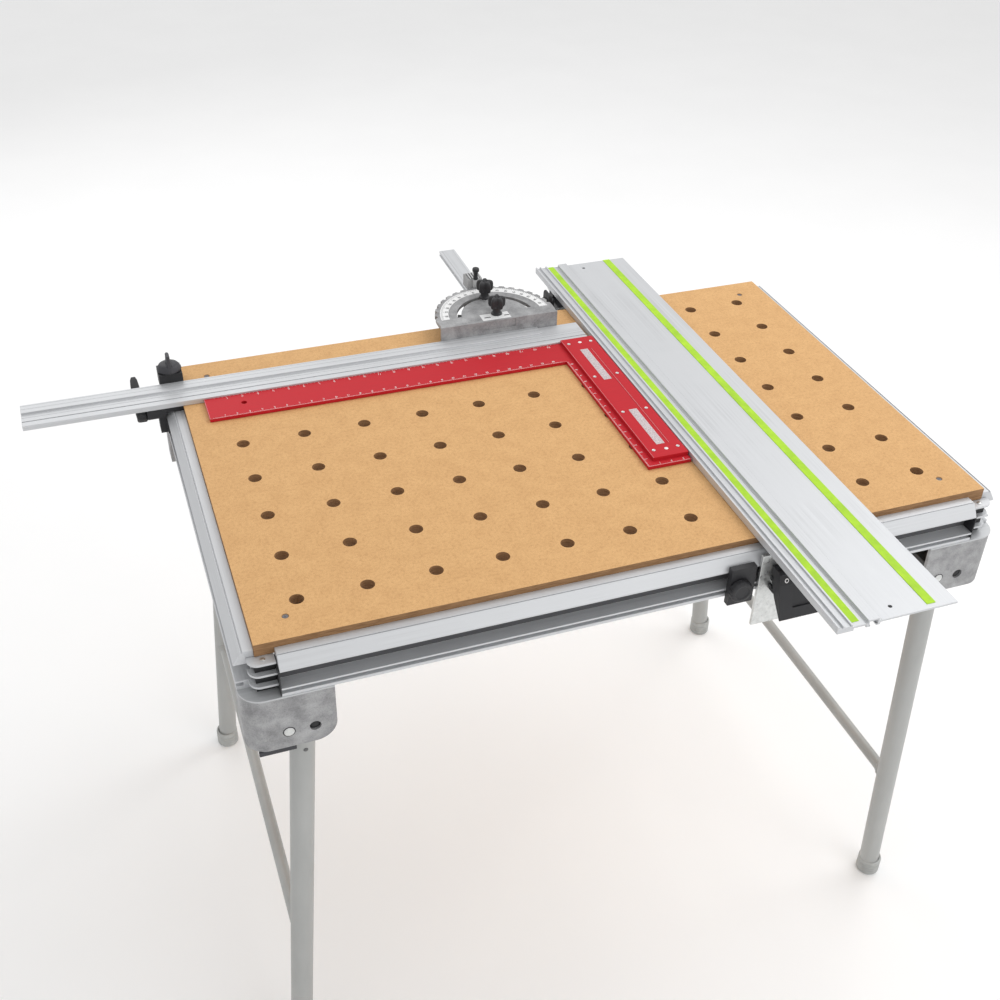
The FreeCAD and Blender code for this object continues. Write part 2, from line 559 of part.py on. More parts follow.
def front_support():
    """Steel plate on the front profile, the leaning height box that slides on it and its clamp."""
    face = "-frame_y - plate_thickness"
    left, right = "box_left", "box_left + box_width"
    top = "box_bottom + box_height"
    piece("front_plate", block(("plate_left", "plate_left + plate_width"), (face, "-frame_y"),
                               ("plate_bottom", "plate_top")))

    def front(share, inwards="0"):
        """A point on the leaning front, the share of its height below the top edge."""
        return (f"{face} - box_depth - box_lean * {share} + {inwards}", f"{top} - 4 - (box_height - 4) * {share}")

    back = f"{face} - slide_gap"
    lower_back = (f"{face} - box_depth - box_lean + box_shell + 6", "box_bottom + box_height * 0.37")
    body = prism("x", left, right, [(back, top), (f"{face} - box_depth + 5", top), front(0), front(1),
                                    lower_back, (back, "box_bottom + box_height * 0.75")])
    panel = prism("x", f"{left} + 22", f"{right} - 6", [front(-0.05, "-4"), front(-0.05, "panel_depth"),
                                                        front(0.76, "panel_depth"), front(0.76, "-4")])
    catch = block((f"{left} + 20", f"{left} + 20 + catch_width"), (f"{face} - box_depth + 5", f"{face} - 3"),
                  (f"{top} - 1", "rail_base - knob_gap"))
    screw = rod("y", "square_screw_radius + 0.5", f"{face} - box_depth - 5", f"{face} - box_depth + 3",
                f"{left} + 11", f"{top} - 12")
    piece("height_box", cut(fuse(cut(body, panel), catch), screw))
    piece("height_box_screw", screw)
    clamp = block(("clamp_left", "clamp_left + clamp_width"), ("-frame_y - clamp_depth", "-frame_y"),
                  ("clamp_bottom", "clamp_bottom + clamp_height"))
    knob_x, knob_z = "clamp_left + clamp_width / 2 - 5", "clamp_bottom + clamp_height / 2 - clamp_knob_drop"
    knob_back = "-frame_y - clamp_depth - knob_gap"
    spot = ("y", "-frame_y - clamp_depth", knob_x, knob_z, -1)
    piece("front_clamp_block", fuse(clamp, stud(*spot)))
    dial = rod("y", "clamp_knob_radius", f"{knob_back} - clamp_knob_depth", knob_back, knob_x, knob_z)
    piece("front_clamp_knob", cut(dial, stud(*spot, bore=True)))


# ---------------------------------------------------------------------------------------------------------
# Fence, protractor head and fence clamp
# ---------------------------------------------------------------------------------------------------------
def fence():
    front, back = "fence_front", "fence_front + fence_width"
    groove = f"{front} + 12"
    section = [(front, "fence_base"), (front, "fence_low"), (groove, "fence_low"),
               (groove, "fence_low - fence_groove"), (f"{groove} + 2", "fence_low - fence_groove"),
               (f"{groove} + 2", "fence_low"), (f"{front} + fence_step", "fence_low"),
               (f"{front} + fence_step", "fence_high"), (back, "fence_high"), (back, "fence_base")]
    bar = prism("x", "fence_left", "fence_left + fence_length", section)
    step_end = block(("fence_bar_right", "fence_left + fence_length + 1"),
                     (f"{front} + fence_step - 1", f"{back} + 1"), ("fence_low", "fence_high + 1"))
    piece("fence_profile", cut(bar, step_end))


def head_rod(radius, low, high):
    return rod("z", radius, low, high, "pivot_x", "pivot_y")


def spoke(radius, angle):
    """A point at an angle about the pivot, counted from +X in degrees."""
    return (f"pivot_x + {radius} * cos({angle} * 1deg)", f"pivot_y + {radius} * sin({angle} * 1deg)")


def rear_half(low, high, front):
    return block(("pivot_x - head_radius - 1", "pivot_x + head_radius + 1"),
                 (front, "pivot_y + head_radius + 1"), (low, high))


def head_plate():
    """Half-round cast plate with its front wall, curved slot, pivot bore and index notches."""
    under = "head_top - head_plate"
    disc = common(head_rod("head_radius", under, "head_top"),
                  rear_half(f"{under} - 1", "head_top + 1", "fence_front + fence_width + 1"))
    wall = block(("pivot_x - head_radius", "pivot_x + head_radius"),
                 ("fence_front + fence_width", "fence_front + fence_width + head_wall"),
                 ("fence_base", "head_top"))
    ring = cut(head_rod("arc_slot_radius + arc_slot_width / 2", f"{under} - 1", "head_top + 1"),
               head_rod("arc_slot_radius - arc_slot_width / 2", f"{under} - 2", "head_top + 2"))
    slot = common(ring, rear_half(f"{under} - 3", "head_top + 3",
                                  "pivot_y + arc_slot_radius * cos(arc_slot_angle * 1deg)"))
    notches = [rod("z", "notch_radius", f"{under} - 1", "head_top + 1", *spoke("head_radius", angle))
               for angle in range(10, 171, round(value("notch_step")))]
    panel = block(("pivot_x - wall_panel_half", "pivot_x + wall_panel_half"),
                  ("fence_front + fence_width - 1", "fence_front + fence_width + wall_panel"),
                  ("fence_high + 8", "head_top - 2"))
    bore = head_rod("screw_radius + running_gap", f"{under} - 1", "head_top + 1")
    piece("protractor_plate", cut(fuse(disc, wall), slot, bore, panel, *notches))
    band = cut(head_rod("scale_outer", "head_top", "head_top + scale_thickness"),
               head_rod("scale_inner", "head_top - 1", "head_top + scale_thickness + 1"))
    label = block(("pivot_x - label_left", "pivot_x - label_left + label_length"),
                  ("pivot_y + label_back - label_width", "pivot_y + label_back"), ("head_top", "head_top + scale_thickness"))
    piece("protractor_scale", group(common(band, rear_half("head_top - 1", "head_top + 2", "pivot_y + 4")),
                                    cut(label, head_rod("lobe_radius / 2 + moving_gap", "head_top - 1",
                                                        "head_top + scale_thickness + 1"))))


def lobed_knob(x, y):
    """Five-lobed knob on a stem, with the bore for its screw."""
    base = "head_top + knob_gap"
    top = f"{base} + knob_stem"
    stem = rod("z", "lobe_radius / 2", base, f"{top} + 1", x, y)
    hub = rod("z", "lobe_radius * 0.7", top, f"{top} + lobe_height", x, y)
    lobes = [rod("z", "lobe_radius * 0.32", top, f"{top} + lobe_height",
                 f"{x} + lobe_radius * 0.68 * cos({turn} * 72deg)",
                 f"{y} + lobe_radius * 0.68 * sin({turn} * 72deg)") for turn in range(5)]
    return cut(fuse(stem, hub, *lobes), rod("z", "screw_radius + running_gap", f"{base} - 1",
                                            "head_top + screw_reach + running_gap", x, y))


def head_bar():
    """Flat bar that carries the head: round at the pivot, straight to the rear."""
    top = "bar_base + bar_thickness"
    nose = head_rod("bar_width / 2 - 2", "bar_base", top)
    straight = block(("pivot_x - bar_width / 2", "pivot_x + bar_width / 2"), ("pivot_y + 8", "bar_end"),
                     ("bar_base", top))
    flanges = [block((f"pivot_x {side} bar_width / 2 - 1.5", f"pivot_x {side} bar_width / 2 + 1.5"),
                     ("pivot_y + 20", "bar_end + 1"), ("bar_base + 3", "bar_base + 6")) for side in "+-"]
    seats = [head_rod("screw_radius", "bar_base - 1", f"{top} + 1"),
             rod("z", "screw_radius", "bar_base - 1", f"{top} + 1", "pivot_x", "pivot_y + arc_slot_radius")]
    piece("head_bar", cut(fuse(nose, straight), *seats, *flanges))
    piece("head_screws", group(head_rod("screw_radius", "bar_base", "head_top + screw_reach"),
                               rod("z", "screw_radius", "bar_base", "head_top + screw_reach",
                                   "pivot_x", "pivot_y + arc_slot_radius")))
    piece("pivot_knob", lobed_knob("pivot_x", "pivot_y"))
    piece("slot_knob", lobed_knob("pivot_x", "pivot_y + arc_slot_radius"))


def index_pin():
    """Ribbed guide behind the rim and the sprung pin in it."""
    y = "pivot_y + head_radius + index_gap + index_radius"
    base, top = "bar_base + bar_thickness", "head_top + 14"
    shell = block(("pivot_x - 14", "pivot_x + 14"), (f"{y} - index_radius", f"{y} + 30"), (base, top))
    grooves = [block(("pivot_x - 15", "pivot_x + 15"), (f"{y} + {5 * i}", f"{y} + {5 * i} + 2"),
                     (f"{top} - 4", f"{top} + 1")) for i in range(1, 6)]
    bore = rod("z", "index_radius / 2 + running_gap", f"{base} - 1", f"{top} + 1", "pivot_x", y)
    piece("index_guide", cut(shell, *grooves, bore))
    stem = rod("z", "index_radius / 2", f"{base} + 2", f"{top} + 16", "pivot_x", y)
    button = rod("z", "index_radius * 1.6", f"{top} + 14", f"{top} + 22", "pivot_x", y)
    sleeve = rod("z", "index_radius * 1.1", f"{top} + 0.3", f"{top} + 14", "pivot_x", y)
    piece("index_pin", fuse(stem, sleeve, button))


def bar_clamp():
    """Saddle on the rear profile whose channel the bar slides in, with its clamp knob underneath."""
    side = "(bar_width / 2 + 0.3)"
    top = "bar_base + bar_thickness - moving_gap"
    saddle = block((f"pivot_x - {side} - 9", f"pivot_x + {side} + 9"), ("frame_y", "frame_y + saddle_depth"),
                   ("frame_bottom", top))
    channel = block((f"pivot_x - {side}", f"pivot_x + {side}"), ("frame_y - 1", "frame_y + saddle_depth + 1"),
                    ("bar_base - 0.3", f"{top} + 1"))
    knob_y = "frame_y + saddle_depth / 2"
    spot = ("z", "frame_bottom", "pivot_x", knob_y, -1)
    piece("bar_saddle", fuse(cut(saddle, channel), stud(*spot)))
    under = "frame_bottom - knob_gap"
    grip = rod("z", "lobe_radius", f"{under} - 18", under, "pivot_x", knob_y)
    wing = block(("pivot_x - 22", "pivot_x + 22"), (f"{knob_y} - 4", f"{knob_y} + 4"),
                 (f"{under} - 24", f"{under} - 8"))
    piece("bar_clamp_knob", cut(fuse(grip, wing), stud(*spot, bore=True)))


def dial_knob(x, y, base):
    """Round knob with an upright grip fin."""
    dial = cone("dial_radius", "dial_radius - 4", base, f"{base} + dial_height", x, y)
    fin = block((f"{x} - fin_thickness / 2", f"{x} + fin_thickness / 2"),
                (f"{y} - dial_radius + 5", f"{y} + dial_radius - 5"),
                (f"{base} + dial_height / 2", f"{base} + fin_height"))
    return fuse(dial, fin)


def fence_clamp():
    """Upper jaw that carries the fence and the lower jaw in the left profile's groove."""
    left, right = "jaw_x - jaw_width / 2", "jaw_x + jaw_width / 2"
    back = "fence_front + fence_width"
    top_spot = ("z", "jaw_top", "jaw_x", f"{back} + jaw_depth / 2")
    body = block((left, right), (back, f"{back} + jaw_depth"), ("fence_base", "jaw_top"))
    piece("fence_jaw", fuse(body, stud(*top_spot)))
    piece("fence_jaw_knob", cut(dial_knob("jaw_x", f"{back} + jaw_depth / 2", "jaw_top + knob_gap"),
                                stud(*top_spot, bore=True)))
    outside = "-frame_x"
    slot_low, slot_high = "frame_bottom + slot_floor + 3", "frame_bottom + slot_floor + slot_opening - 3"
    knob_y, knob_z = "fence_front + fence_width / 2", "jaw_floor - 18"
    arm = block((f"{outside} - jaw_reach", f"{outside} - slide_gap"), ("fence_front + 4", f"{back} - 4"),
                ("jaw_floor - arm_height", "jaw_floor"))
    bridge = block((f"{outside} - 1", "-board_x - slide_gap"), ("fence_front + 4", f"{back} - 4"),
                   ("frame_top + slide_gap", "jaw_floor"))
    boss = rod("x", "arm_boss_radius", f"{outside} - jaw_reach", f"{outside} - slide_gap", knob_y, knob_z)
    neck = block((f"{outside} - 12", f"{outside} - slide_gap"), ("fence_front + 18", f"{back} - 18"),
                 (slot_low, "jaw_floor - arm_height + 1"))
    shoe = block((f"{outside} - 1", f"{outside} + slot_depth - 3"), ("fence_front + 12", f"{back} - 12"),
                 (slot_low, slot_high))
    spot = ("x", f"{outside} - jaw_reach", knob_y, knob_z, -1)
    piece("side_jaw", fuse(arm, bridge, boss, neck, shoe, stud(*spot)))
    knob_x = f"{outside} - jaw_reach - knob_gap"
    dial = rod("x", "dial_radius - 5", f"{knob_x} - 16", knob_x, knob_y, knob_z)
    half = "lever_thickness / 2"
    lever = prism("x", "-lever_width - 0.7", "-0.7",
                  [("-12", f"-{half}"), ("lever_length * 0.5", f"-{half}"), ("lever_length", f"{half} - 2"),
                   ("lever_length", half), ("-12", half)])
    tilted = group(lever)
    tilted.Placement = FreeCAD.Placement(Vector(), FreeCAD.Rotation(Vector(1, 0, 0), 1))
    tilted.setExpression("Placement.Rotation.Angle", sized("lever_rise * 1deg"))
    piece("side_jaw_lever", cut(fuse(dial, at(tilted, knob_x, knob_y, knob_z)), stud(*spot, bore=True)))


# ---------------------------------------------------------------------------------------------------------
# Setting square lying against fence and rail
# ---------------------------------------------------------------------------------------------------------
def square():
    base = "table_height + square_gap"
    top = f"{base} + square_thickness"
    back = "fence_front - square_gap"
    blade = block(("blade_left", "square_right - tongue_width"), (f"{back} - blade_width", back), (base, top))
    tongue = block(("square_right - tongue_width", "square_right"), ("tongue_front", back), (base, top))
    hanging_hole = rod("z", 4.5, f"{base} - 1", f"{top} + 1", "blade_left + 60", f"{back} - 27")
    piece("square_blade", cut(fuse(blade, tongue), hanging_hole))
    left, front, cheek_top = "square_right - cheek_width", "tongue_front + cheek_front", f"{top} + cheek_thickness"
    cheek = block((left, "square_right"), (front, back), (top, cheek_top))
    pads = [((f"{left} + pad_left", f"{left} + pad_left + pad_width"),
             (f"{front} + {low}", f"{front} + {low} + pad_length")) for low in ("pad_one", "pad_two")]
    line = block((f"{left} + 40", f"{left} + 41.5"), (f"{front} + pad_one", f"{front} + pad_two + pad_length"),
                 (f"{cheek_top} - 0.8", f"{cheek_top} + 1"))
    screws = [rod("z", "square_screw_radius", f"{cheek_top} - 0.6", f"{cheek_top} + 0.4", x,
                  f"{front} + square_screw_first + {step} * square_screw_pitch")
              for step in range(4) for x in (f"{left} + square_screw_inset", "square_right - square_screw_inset")]
    sockets = [block(x, y, (f"{cheek_top} - 1", f"{cheek_top} + 1")) for x, y in pads]
    piece("square_cheek", cut(cheek, line, *sockets, *screws))
    piece("square_pads", group(*[block(x, y, (f"{cheek_top} - 1", f"{cheek_top} + 0.3")) for x, y in pads]))
    piece("square_screws", group(*screws))


# ---------------------------------------------------------------------------------------------------------
# Build, check and write every piece
# ---------------------------------------------------------------------------------------------------------
def check(obj):
    shape = obj.Shape
    if shape.isNull() or not shape.isValid() or not shape.Solids:
        raise ValueError(f"{obj.Label}: no valid solid")


for build in (board, profiles, corners, end_caps, legs, guide_rail, rear_support, front_support,
              fence, head_plate, head_bar, index_pin, bar_clamp, fence_clamp, square):
    build()
for name, obj in PIECES.items():
    obj.Label = name
doc.recompute()
failed = [obj.Name for obj in doc.Objects if {"Invalid", "Error"} & set(obj.State)]
if failed:
    raise ValueError(f"failed objects: {failed}")
os.makedirs("parts", exist_ok=True)
for name, obj in PIECES.items():
    check(obj)
    obj.Shape.exportStep(f"parts/{name}.step")
print(len(PIECES), "pieces written")
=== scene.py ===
import json
import math
import bpy
import bmesh
from mathutils import Matrix, Quaternion, Vector


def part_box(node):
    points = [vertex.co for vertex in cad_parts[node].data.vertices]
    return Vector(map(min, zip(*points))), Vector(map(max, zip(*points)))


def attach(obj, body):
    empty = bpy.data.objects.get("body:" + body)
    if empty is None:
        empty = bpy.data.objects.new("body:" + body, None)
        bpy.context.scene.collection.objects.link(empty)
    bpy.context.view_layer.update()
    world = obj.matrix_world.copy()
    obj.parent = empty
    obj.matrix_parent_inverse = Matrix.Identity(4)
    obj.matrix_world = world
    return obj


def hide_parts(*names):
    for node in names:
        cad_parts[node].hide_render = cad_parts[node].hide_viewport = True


# The look of a folding sawing table. Metres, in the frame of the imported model: X right, Y to the rear, Z up.
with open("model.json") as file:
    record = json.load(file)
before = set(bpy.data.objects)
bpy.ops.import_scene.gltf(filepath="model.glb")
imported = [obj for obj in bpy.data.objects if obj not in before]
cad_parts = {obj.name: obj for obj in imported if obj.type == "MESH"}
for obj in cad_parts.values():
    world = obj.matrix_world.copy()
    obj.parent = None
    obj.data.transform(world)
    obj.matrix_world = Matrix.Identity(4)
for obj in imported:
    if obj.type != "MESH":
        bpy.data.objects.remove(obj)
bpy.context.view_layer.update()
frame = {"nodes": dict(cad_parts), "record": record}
NODES = frame["nodes"]
SLOT_OF = {part["node"]: part["material_slot"] for part in frame["record"]["subparts"]}
JOINT_SPOT = {joint["name"]: Vector(joint["pos_m"]) for joint in frame["record"]["behaviour"]["joints"]
              if joint.get("pos_m")}
MM = 0.001


# ---------------------------------------------------------------------------------------------------------
# Materials
# ---------------------------------------------------------------------------------------------------------
class Paint:
    """A material's node tree with short ways to add the nodes that the finishes share."""

    def __init__(self, name):
        self.material = bpy.data.materials.new(name)
        self.material.use_nodes = True
        self.tree = self.material.node_tree
        self.shader = next(n for n in self.tree.nodes if n.type == "BSDF_PRINCIPLED")
        self.place = self.node("ShaderNodeTexCoord").outputs["Object"]

    def node(self, kind, **settings):
        made = self.tree.nodes.new(kind)
        for name, setting in settings.items():
            setattr(made, name, setting)
        return made

    def link(self, source, target):
        self.tree.links.new(source, target)

    def stretched(self, scale):
        """Object coordinates, scaled along each axis, so that a noise becomes a grain."""
        mapping = self.node("ShaderNodeMapping")
        mapping.inputs["Scale"].default_value = scale
        self.link(self.place, mapping.inputs["Vector"])
        return mapping.outputs["Vector"]

    def noise(self, scale, detail=4, stretch=None, roughness=0.5):
        made = self.node("ShaderNodeTexNoise")
        made.inputs["Scale"].default_value = scale
        made.inputs["Detail"].default_value = detail
        made.inputs["Roughness"].default_value = roughness
        self.link(self.stretched(stretch) if stretch else self.place, made.inputs["Vector"])
        return made.outputs["Fac"]

    def ramp(self, source, *stops):
        """A colour ramp; each stop is a position and a grey value or a colour."""
        made = self.node("ShaderNodeValToRGB")
        elements = made.color_ramp.elements
        while len(elements) < len(stops):
            elements.new(0.5)
        for element, (position, colour) in zip(elements, stops):
            element.position = position
            element.color = (*((colour,) * 3 if isinstance(colour, (int, float)) else colour), 1)
        self.link(source, made.inputs["Fac"])
        return made.outputs["Color"]

    def mix(self, factor, first, second, kind="MIX"):
        made = self.node("ShaderNodeMix", data_type="RGBA", blend_type=kind)
        for socket, source in ((made.inputs[0], factor), (made.inputs[6], first), (made.inputs[7], second)):
            if isinstance(source, bpy.types.NodeSocket):
                self.link(source, socket)
            else:
                socket.default_value = source if isinstance(source, float) else (*source, 1)
        return made.outputs[2]

    def facing(self, axis, low, high):
        """0 where the surface is square to an object axis, rising to 1 where it faces along it."""
        split = self.node("ShaderNodeSeparateXYZ")
        self.link(self.node("ShaderNodeTexCoord").outputs["Normal"], split.inputs[0])
        size = self.node("ShaderNodeMath", operation="ABSOLUTE")
        self.link(split.outputs["XYZ".index(axis)], size.inputs[0])
        reach = self.node("ShaderNodeMapRange")
        reach.inputs["From Min"].default_value, reach.inputs["From Max"].default_value = low, high
        self.link(size.outputs[0], reach.inputs["Value"])
        return reach.outputs["Result"]

    def bump(self, height, strength, distance=0.0005):
        made = self.node("ShaderNodeBump")
        made.inputs["Strength"].default_value = strength
        made.inputs["Distance"].default_value = distance
        self.link(height, made.inputs["Height"])
        self.link(made.outputs["Normal"], self.shader.inputs["Normal"])

    def finish(self, colour=None, roughness=0.5, metallic=0.0, **sockets):
        for name, source in (("Base Color", colour), ("Roughness", roughness)):
            if isinstance(source, bpy.types.NodeSocket):
                self.link(source, self.shader.inputs[name])
            elif source is not None:
                self.shader.inputs[name].default_value = (*source, 1) if name == "Base Color" else source
        self.shader.inputs["Metallic"].default_value = metallic
        for name, setting in sockets.items():
            self.shader.inputs[name.replace("_", " ")].default_value = setting
        return self.material


def fibreboard():
    """Pressed fibre board: fine light and dark fibres on the faces, darker sawn edges and hole walls."""
    p = Paint("fibreboard")
    fibre = p.ramp(p.noise(900, 6, roughness=0.7), (0.30, (0.52, 0.29, 0.115)), (0.52, (0.73, 0.435, 0.19)),
                   (0.75, (0.84, 0.54, 0.26)))
    speck = p.ramp(p.noise(210, 5, roughness=0.75), (0.36, (0.84, 0.80, 0.76)), (0.52, (0.98, 0.98, 0.98)),
                   (0.68, (1.0, 1.0, 1.0)))
    cloud = p.ramp(p.noise(38, 4, roughness=0.6), (0.35, (0.93, 0.91, 0.89)), (0.65, (1.0, 1.0, 1.0)))
    face = p.mix(1.0, p.mix(1.0, fibre, speck, "MULTIPLY"), cloud, "MULTIPLY")
    layers = p.ramp(p.noise(60, 5, (1, 1, 14)), (0.3, (0.20, 0.105, 0.045)), (0.7, (0.36, 0.20, 0.095)))
    colour = p.mix(p.facing("Z", 0.45, 0.75), layers, face)
    p.bump(p.noise(1400, 5), 0.25, 0.0003)
    return p.finish(colour, p.ramp(p.noise(500, 4), (0.3, 0.62), (0.7, 0.78)), Specular_IOR_Level=0.3)


def extruded(name, axis, tint=(0.60, 0.61, 0.625)):
    """Satin anodised extrusion with faint die lines along its length."""
    p = Paint(name)
    along = tuple(1.5 if letter == axis else 260 for letter in "XYZ")
    lines = p.noise(1, 5, along, 0.65)
    cloud = p.noise(9, 3)
    bright = tuple(min(1.0, c * 1.10) for c in tint)
    dark = tuple(c * 0.84 for c in tint)
    colour = p.mix(p.ramp(cloud, (0.35, 0.0), (0.65, 1.0)), p.ramp(lines, (0.3, dark), (0.7, bright)), tint)
    p.bump(lines, 0.12, 0.0002)
    return p.finish(colour, p.ramp(lines, (0.25, 0.42), (0.75, 0.58)), 0.45)


def cast_metal():
    """Raw die-cast aluminium: mottled grey with a grainy skin."""
    p = Paint("cast_metal")
    blotch = p.noise(34, 6, roughness=0.66)
    grain = p.noise(520, 5, roughness=0.7)
    skin = p.ramp(grain, (0.34, (0.72, 0.72, 0.72)), (0.5, (0.97, 0.97, 0.97)), (0.66, (1.0, 1.0, 1.0)))
    mottle = p.ramp(blotch, (0.34, (0.24, 0.24, 0.245)), (0.66, (0.46, 0.46, 0.465)))
    colour = p.mix(1.0, mottle, skin, "MULTIPLY")
    p.bump(grain, 0.5, 0.0005)
    return p.finish(colour, p.ramp(blotch, (0.3, 0.45), (0.7, 0.62)), 0.4)


def powder_coat(name, tint, rough=0.42):
    """Painted steel tube: even colour, fine orange peel, faint handling marks."""
    p = Paint(name)
    marks = p.noise(14, 6, (1, 1, 0.3), 0.6)
    colour = p.ramp(marks, (0.3, tuple(c * 0.90 for c in tint)), (0.7, tuple(min(1, c * 1.05) for c in tint)))
    p.bump(p.noise(420, 3), 0.10, 0.0003)
    return p.finish(colour, p.ramp(marks, (0.3, rough + 0.08), (0.7, rough - 0.04)), 0.15)


def moulded(name, tint, rough=0.5):
    """Moulded plastic with a fine spark-eroded grain and slightly worn sheen."""
    p = Paint(name)
    grain = p.noise(1600, 3)
    wear = p.noise(40, 5, roughness=0.6)
    colour = p.ramp(wear, (0.3, tint), (0.75, tuple(c * 1.45 + 0.004 for c in tint)))
    p.bump(grain, 0.3, 0.0002)
    sheen = p.ramp(wear, (0.3, rough - 0.08), (0.7, rough + 0.10))
    return p.finish(colour, sheen, 0.0, Specular_IOR_Level=0.45)


def plated_steel():
    """Zinc-plated steel: bright, slightly yellowish spangle, fine scratches."""
    p = Paint("plated_steel")
    spangle = p.noise(120, 5, roughness=0.6)
    colour = p.ramp(spangle, (0.3, (0.55, 0.56, 0.55)), (0.7, (0.76, 0.77, 0.76)))
    p.bump(p.noise(900, 4), 0.12, 0.0002)
    return p.finish(colour, p.ramp(spangle, (0.3, 0.24), (0.7, 0.40)), 0.9)


def glide_strip():
    """Lime-green glide strip with fine ribs along its length."""
    p = Paint("glide_strip")
    wave = p.node("ShaderNodeTexWave", wave_type="BANDS", bands_direction="X")
    wave.inputs["Scale"].default_value = 400
    p.link(p.place, wave.inputs["Vector"])
    tone = p.noise(60, 4)
    colour = p.ramp(tone, (0.3, (0.34, 0.60, 0.018)), (0.7, (0.45, 0.74, 0.03)))
    p.bump(wave.outputs["Fac"], 0.25, 0.0003)
    return p.finish(colour, p.ramp(tone, (0.3, 0.5), (0.7, 0.65)), 0.0, Specular_IOR_Level=0.35)


def red_anodised():
    """Red anodised plate, fine-brushed before dyeing."""
    p = Paint("red_anodised")
    brushed = p.noise(1, 5, (30, 900, 900), 0.6)
    cloud = p.noise(12, 3)
    strokes = p.ramp(brushed, (0.3, (0.46, 0.010, 0.018)), (0.7, (0.58, 0.018, 0.030)))
    colour = p.mix(p.ramp(cloud, (0.3, 0.0), (0.7, 0.6)), strokes, (0.52, 0.012, 0.022))
    p.bump(brushed, 0.08, 0.0002)
    return p.finish(colour, p.ramp(brushed, (0.3, 0.45), (0.7, 0.58)), 0.25, Specular_IOR_Level=0.25)


def printed(name, tint):
    """Printed or laser-marked film: nearly even, with a faint dot grain."""
    p = Paint(name)
    dots = p.noise(2500, 2)
    colour = p.ramp(dots, (0.35, tuple(c * 0.93 for c in tint)), (0.65, tint))
    return p.finish(colour, p.ramp(dots, (0.3, 0.42), (0.7, 0.55)), 0.0)


def textured_pad():
    """Silver pad with a fine knurl."""
    p = Paint("textured_pad")
    cells = p.node("ShaderNodeTexVoronoi")
    cells.inputs["Scale"].default_value = 650
    p.link(p.place, cells.inputs["Vector"])
    colour = p.ramp(cells.outputs["Distance"], (0.1, (0.80, 0.74, 0.74)), (0.6, (0.52, 0.44, 0.45)))
    p.bump(cells.outputs["Distance"], 0.6, 0.0005)
    return p.finish(colour, p.ramp(cells.outputs["Distance"], (0.1, 0.35), (0.6, 0.6)), 0.6)


FINISH = {
    "mdf": fibreboard(),
    "lengthwise": extruded("extrusion_x", "X"), "crosswise": extruded("extrusion_y", "Y"),
    "cast": cast_metal(), "tube": powder_coat("grey_tube", (0.40, 0.405, 0.395)),
    "boot": moulded("grey_boot", (0.33, 0.335, 0.325)),
    "black": moulded("black_plastic", (0.014, 0.014, 0.016)),
    "steel": plated_steel(), "green": glide_strip(), "red": red_anodised(),
    "white": printed("white_film", (0.82, 0.82, 0.82)),
    "mark_white": printed("white_marks", (0.85, 0.83, 0.82)),
    "mark_black": printed("black_marks", (0.03, 0.03, 0.032)), "pad": textured_pad(),
    # dark_cast_and_shade: the dark paint of the leg heads, also used as painted shade in the index guide's
    # valleys.
    "dark_cast_and_shade": powder_coat("dark_cast_and_shade", (0.05, 0.05, 0.05), 0.5),
    "black_soft": moulded("black_soft", (0.030, 0.030, 0.035), 0.48),
    "black_deep": moulded("black_deep", (0.004, 0.004, 0.005), 0.45),
    "bright_cast": powder_coat("bright_cast", (0.55, 0.55, 0.55), 0.4),
    "machined": extruded("machined_lip", "X", (0.52, 0.53, 0.54)),
    "bright_pin": powder_coat("bright_pin", (0.80, 0.80, 0.80), 0.35),
    "die_line": powder_coat("die_line", (0.30, 0.31, 0.32), 0.5),
    # pink_highlight: the red square's colour lit up, painted as highlight along its edges.
    "pink_highlight": printed("pink_highlight", (0.75, 0.28, 0.30)),
    "screw_dark": powder_coat("screw_dark", (0.16, 0.15, 0.16), 0.35),
    "rivet": powder_coat("rivet", (0.13, 0.13, 0.13), 0.4),
    # groove_shade: dull dark grey painted as shade on the floors of the profiles' grooves.
    "groove_shade": powder_coat("groove_shade", (0.10, 0.10, 0.105), 0.6),
}
LOOK_OF_SLOT = {"mdf": "mdf", "aluminium_profile": "lengthwise", "cast_aluminium": "cast",
                "grey_paint": "tube", "grey_plastic": "boot", "black_plastic": "black", "steel": "steel",
                "green_strip": "green", "red_anodised": "red", "white_scale": "white"}
LOOK_OF_NODE = {"profile_left": "crosswise", "profile_right": "crosswise", "rail_profile": "crosswise",
                "head_bar": "crosswise", "square_pads": "pad", "corner_blocks": "black_deep",
                "leg_heads_left": "dark_cast_and_shade", "leg_heads_right": "dark_cast_and_shade"}


def paint(obj, look):
    """Gives every material slot of a piece the same finish."""
    slots = obj.material_slots
    if not slots:
        obj.data.materials.append(FINISH[look])
    for entry in slots:
        entry.material = FINISH[look]


for name, obj in NODES.items():
    paint(obj, LOOK_OF_NODE.get(name, LOOK_OF_SLOT[SLOT_OF[name]]))


# ---------------------------------------------------------------------------------------------------------
# Edges of the carried-over CAD pieces
# ---------------------------------------------------------------------------------------------------------
def soften(obj, width, segments=2, angle=30):
    """Joins the loose triangles into faces, then rounds the sharp edges a little, as real edges are."""
    weld = obj.modifiers.new("weld", "WELD")
    weld.merge_threshold = 1e-5
    flat = obj.modifiers.new("flat", "DECIMATE")
    flat.decimate_type = "DISSOLVE"
    flat.angle_limit = math.radians(0.5)
    edge = obj.modifiers.new("edge", "BEVEL")
    edge.width, edge.segments, edge.limit_method = width, segments, "ANGLE"
    edge.angle_limit, edge.use_clamp_overlap, edge.harden_normals = math.radians(angle), True, False
    obj.modifiers.new("normals", "WEIGHTED_NORMAL").keep_sharp = True


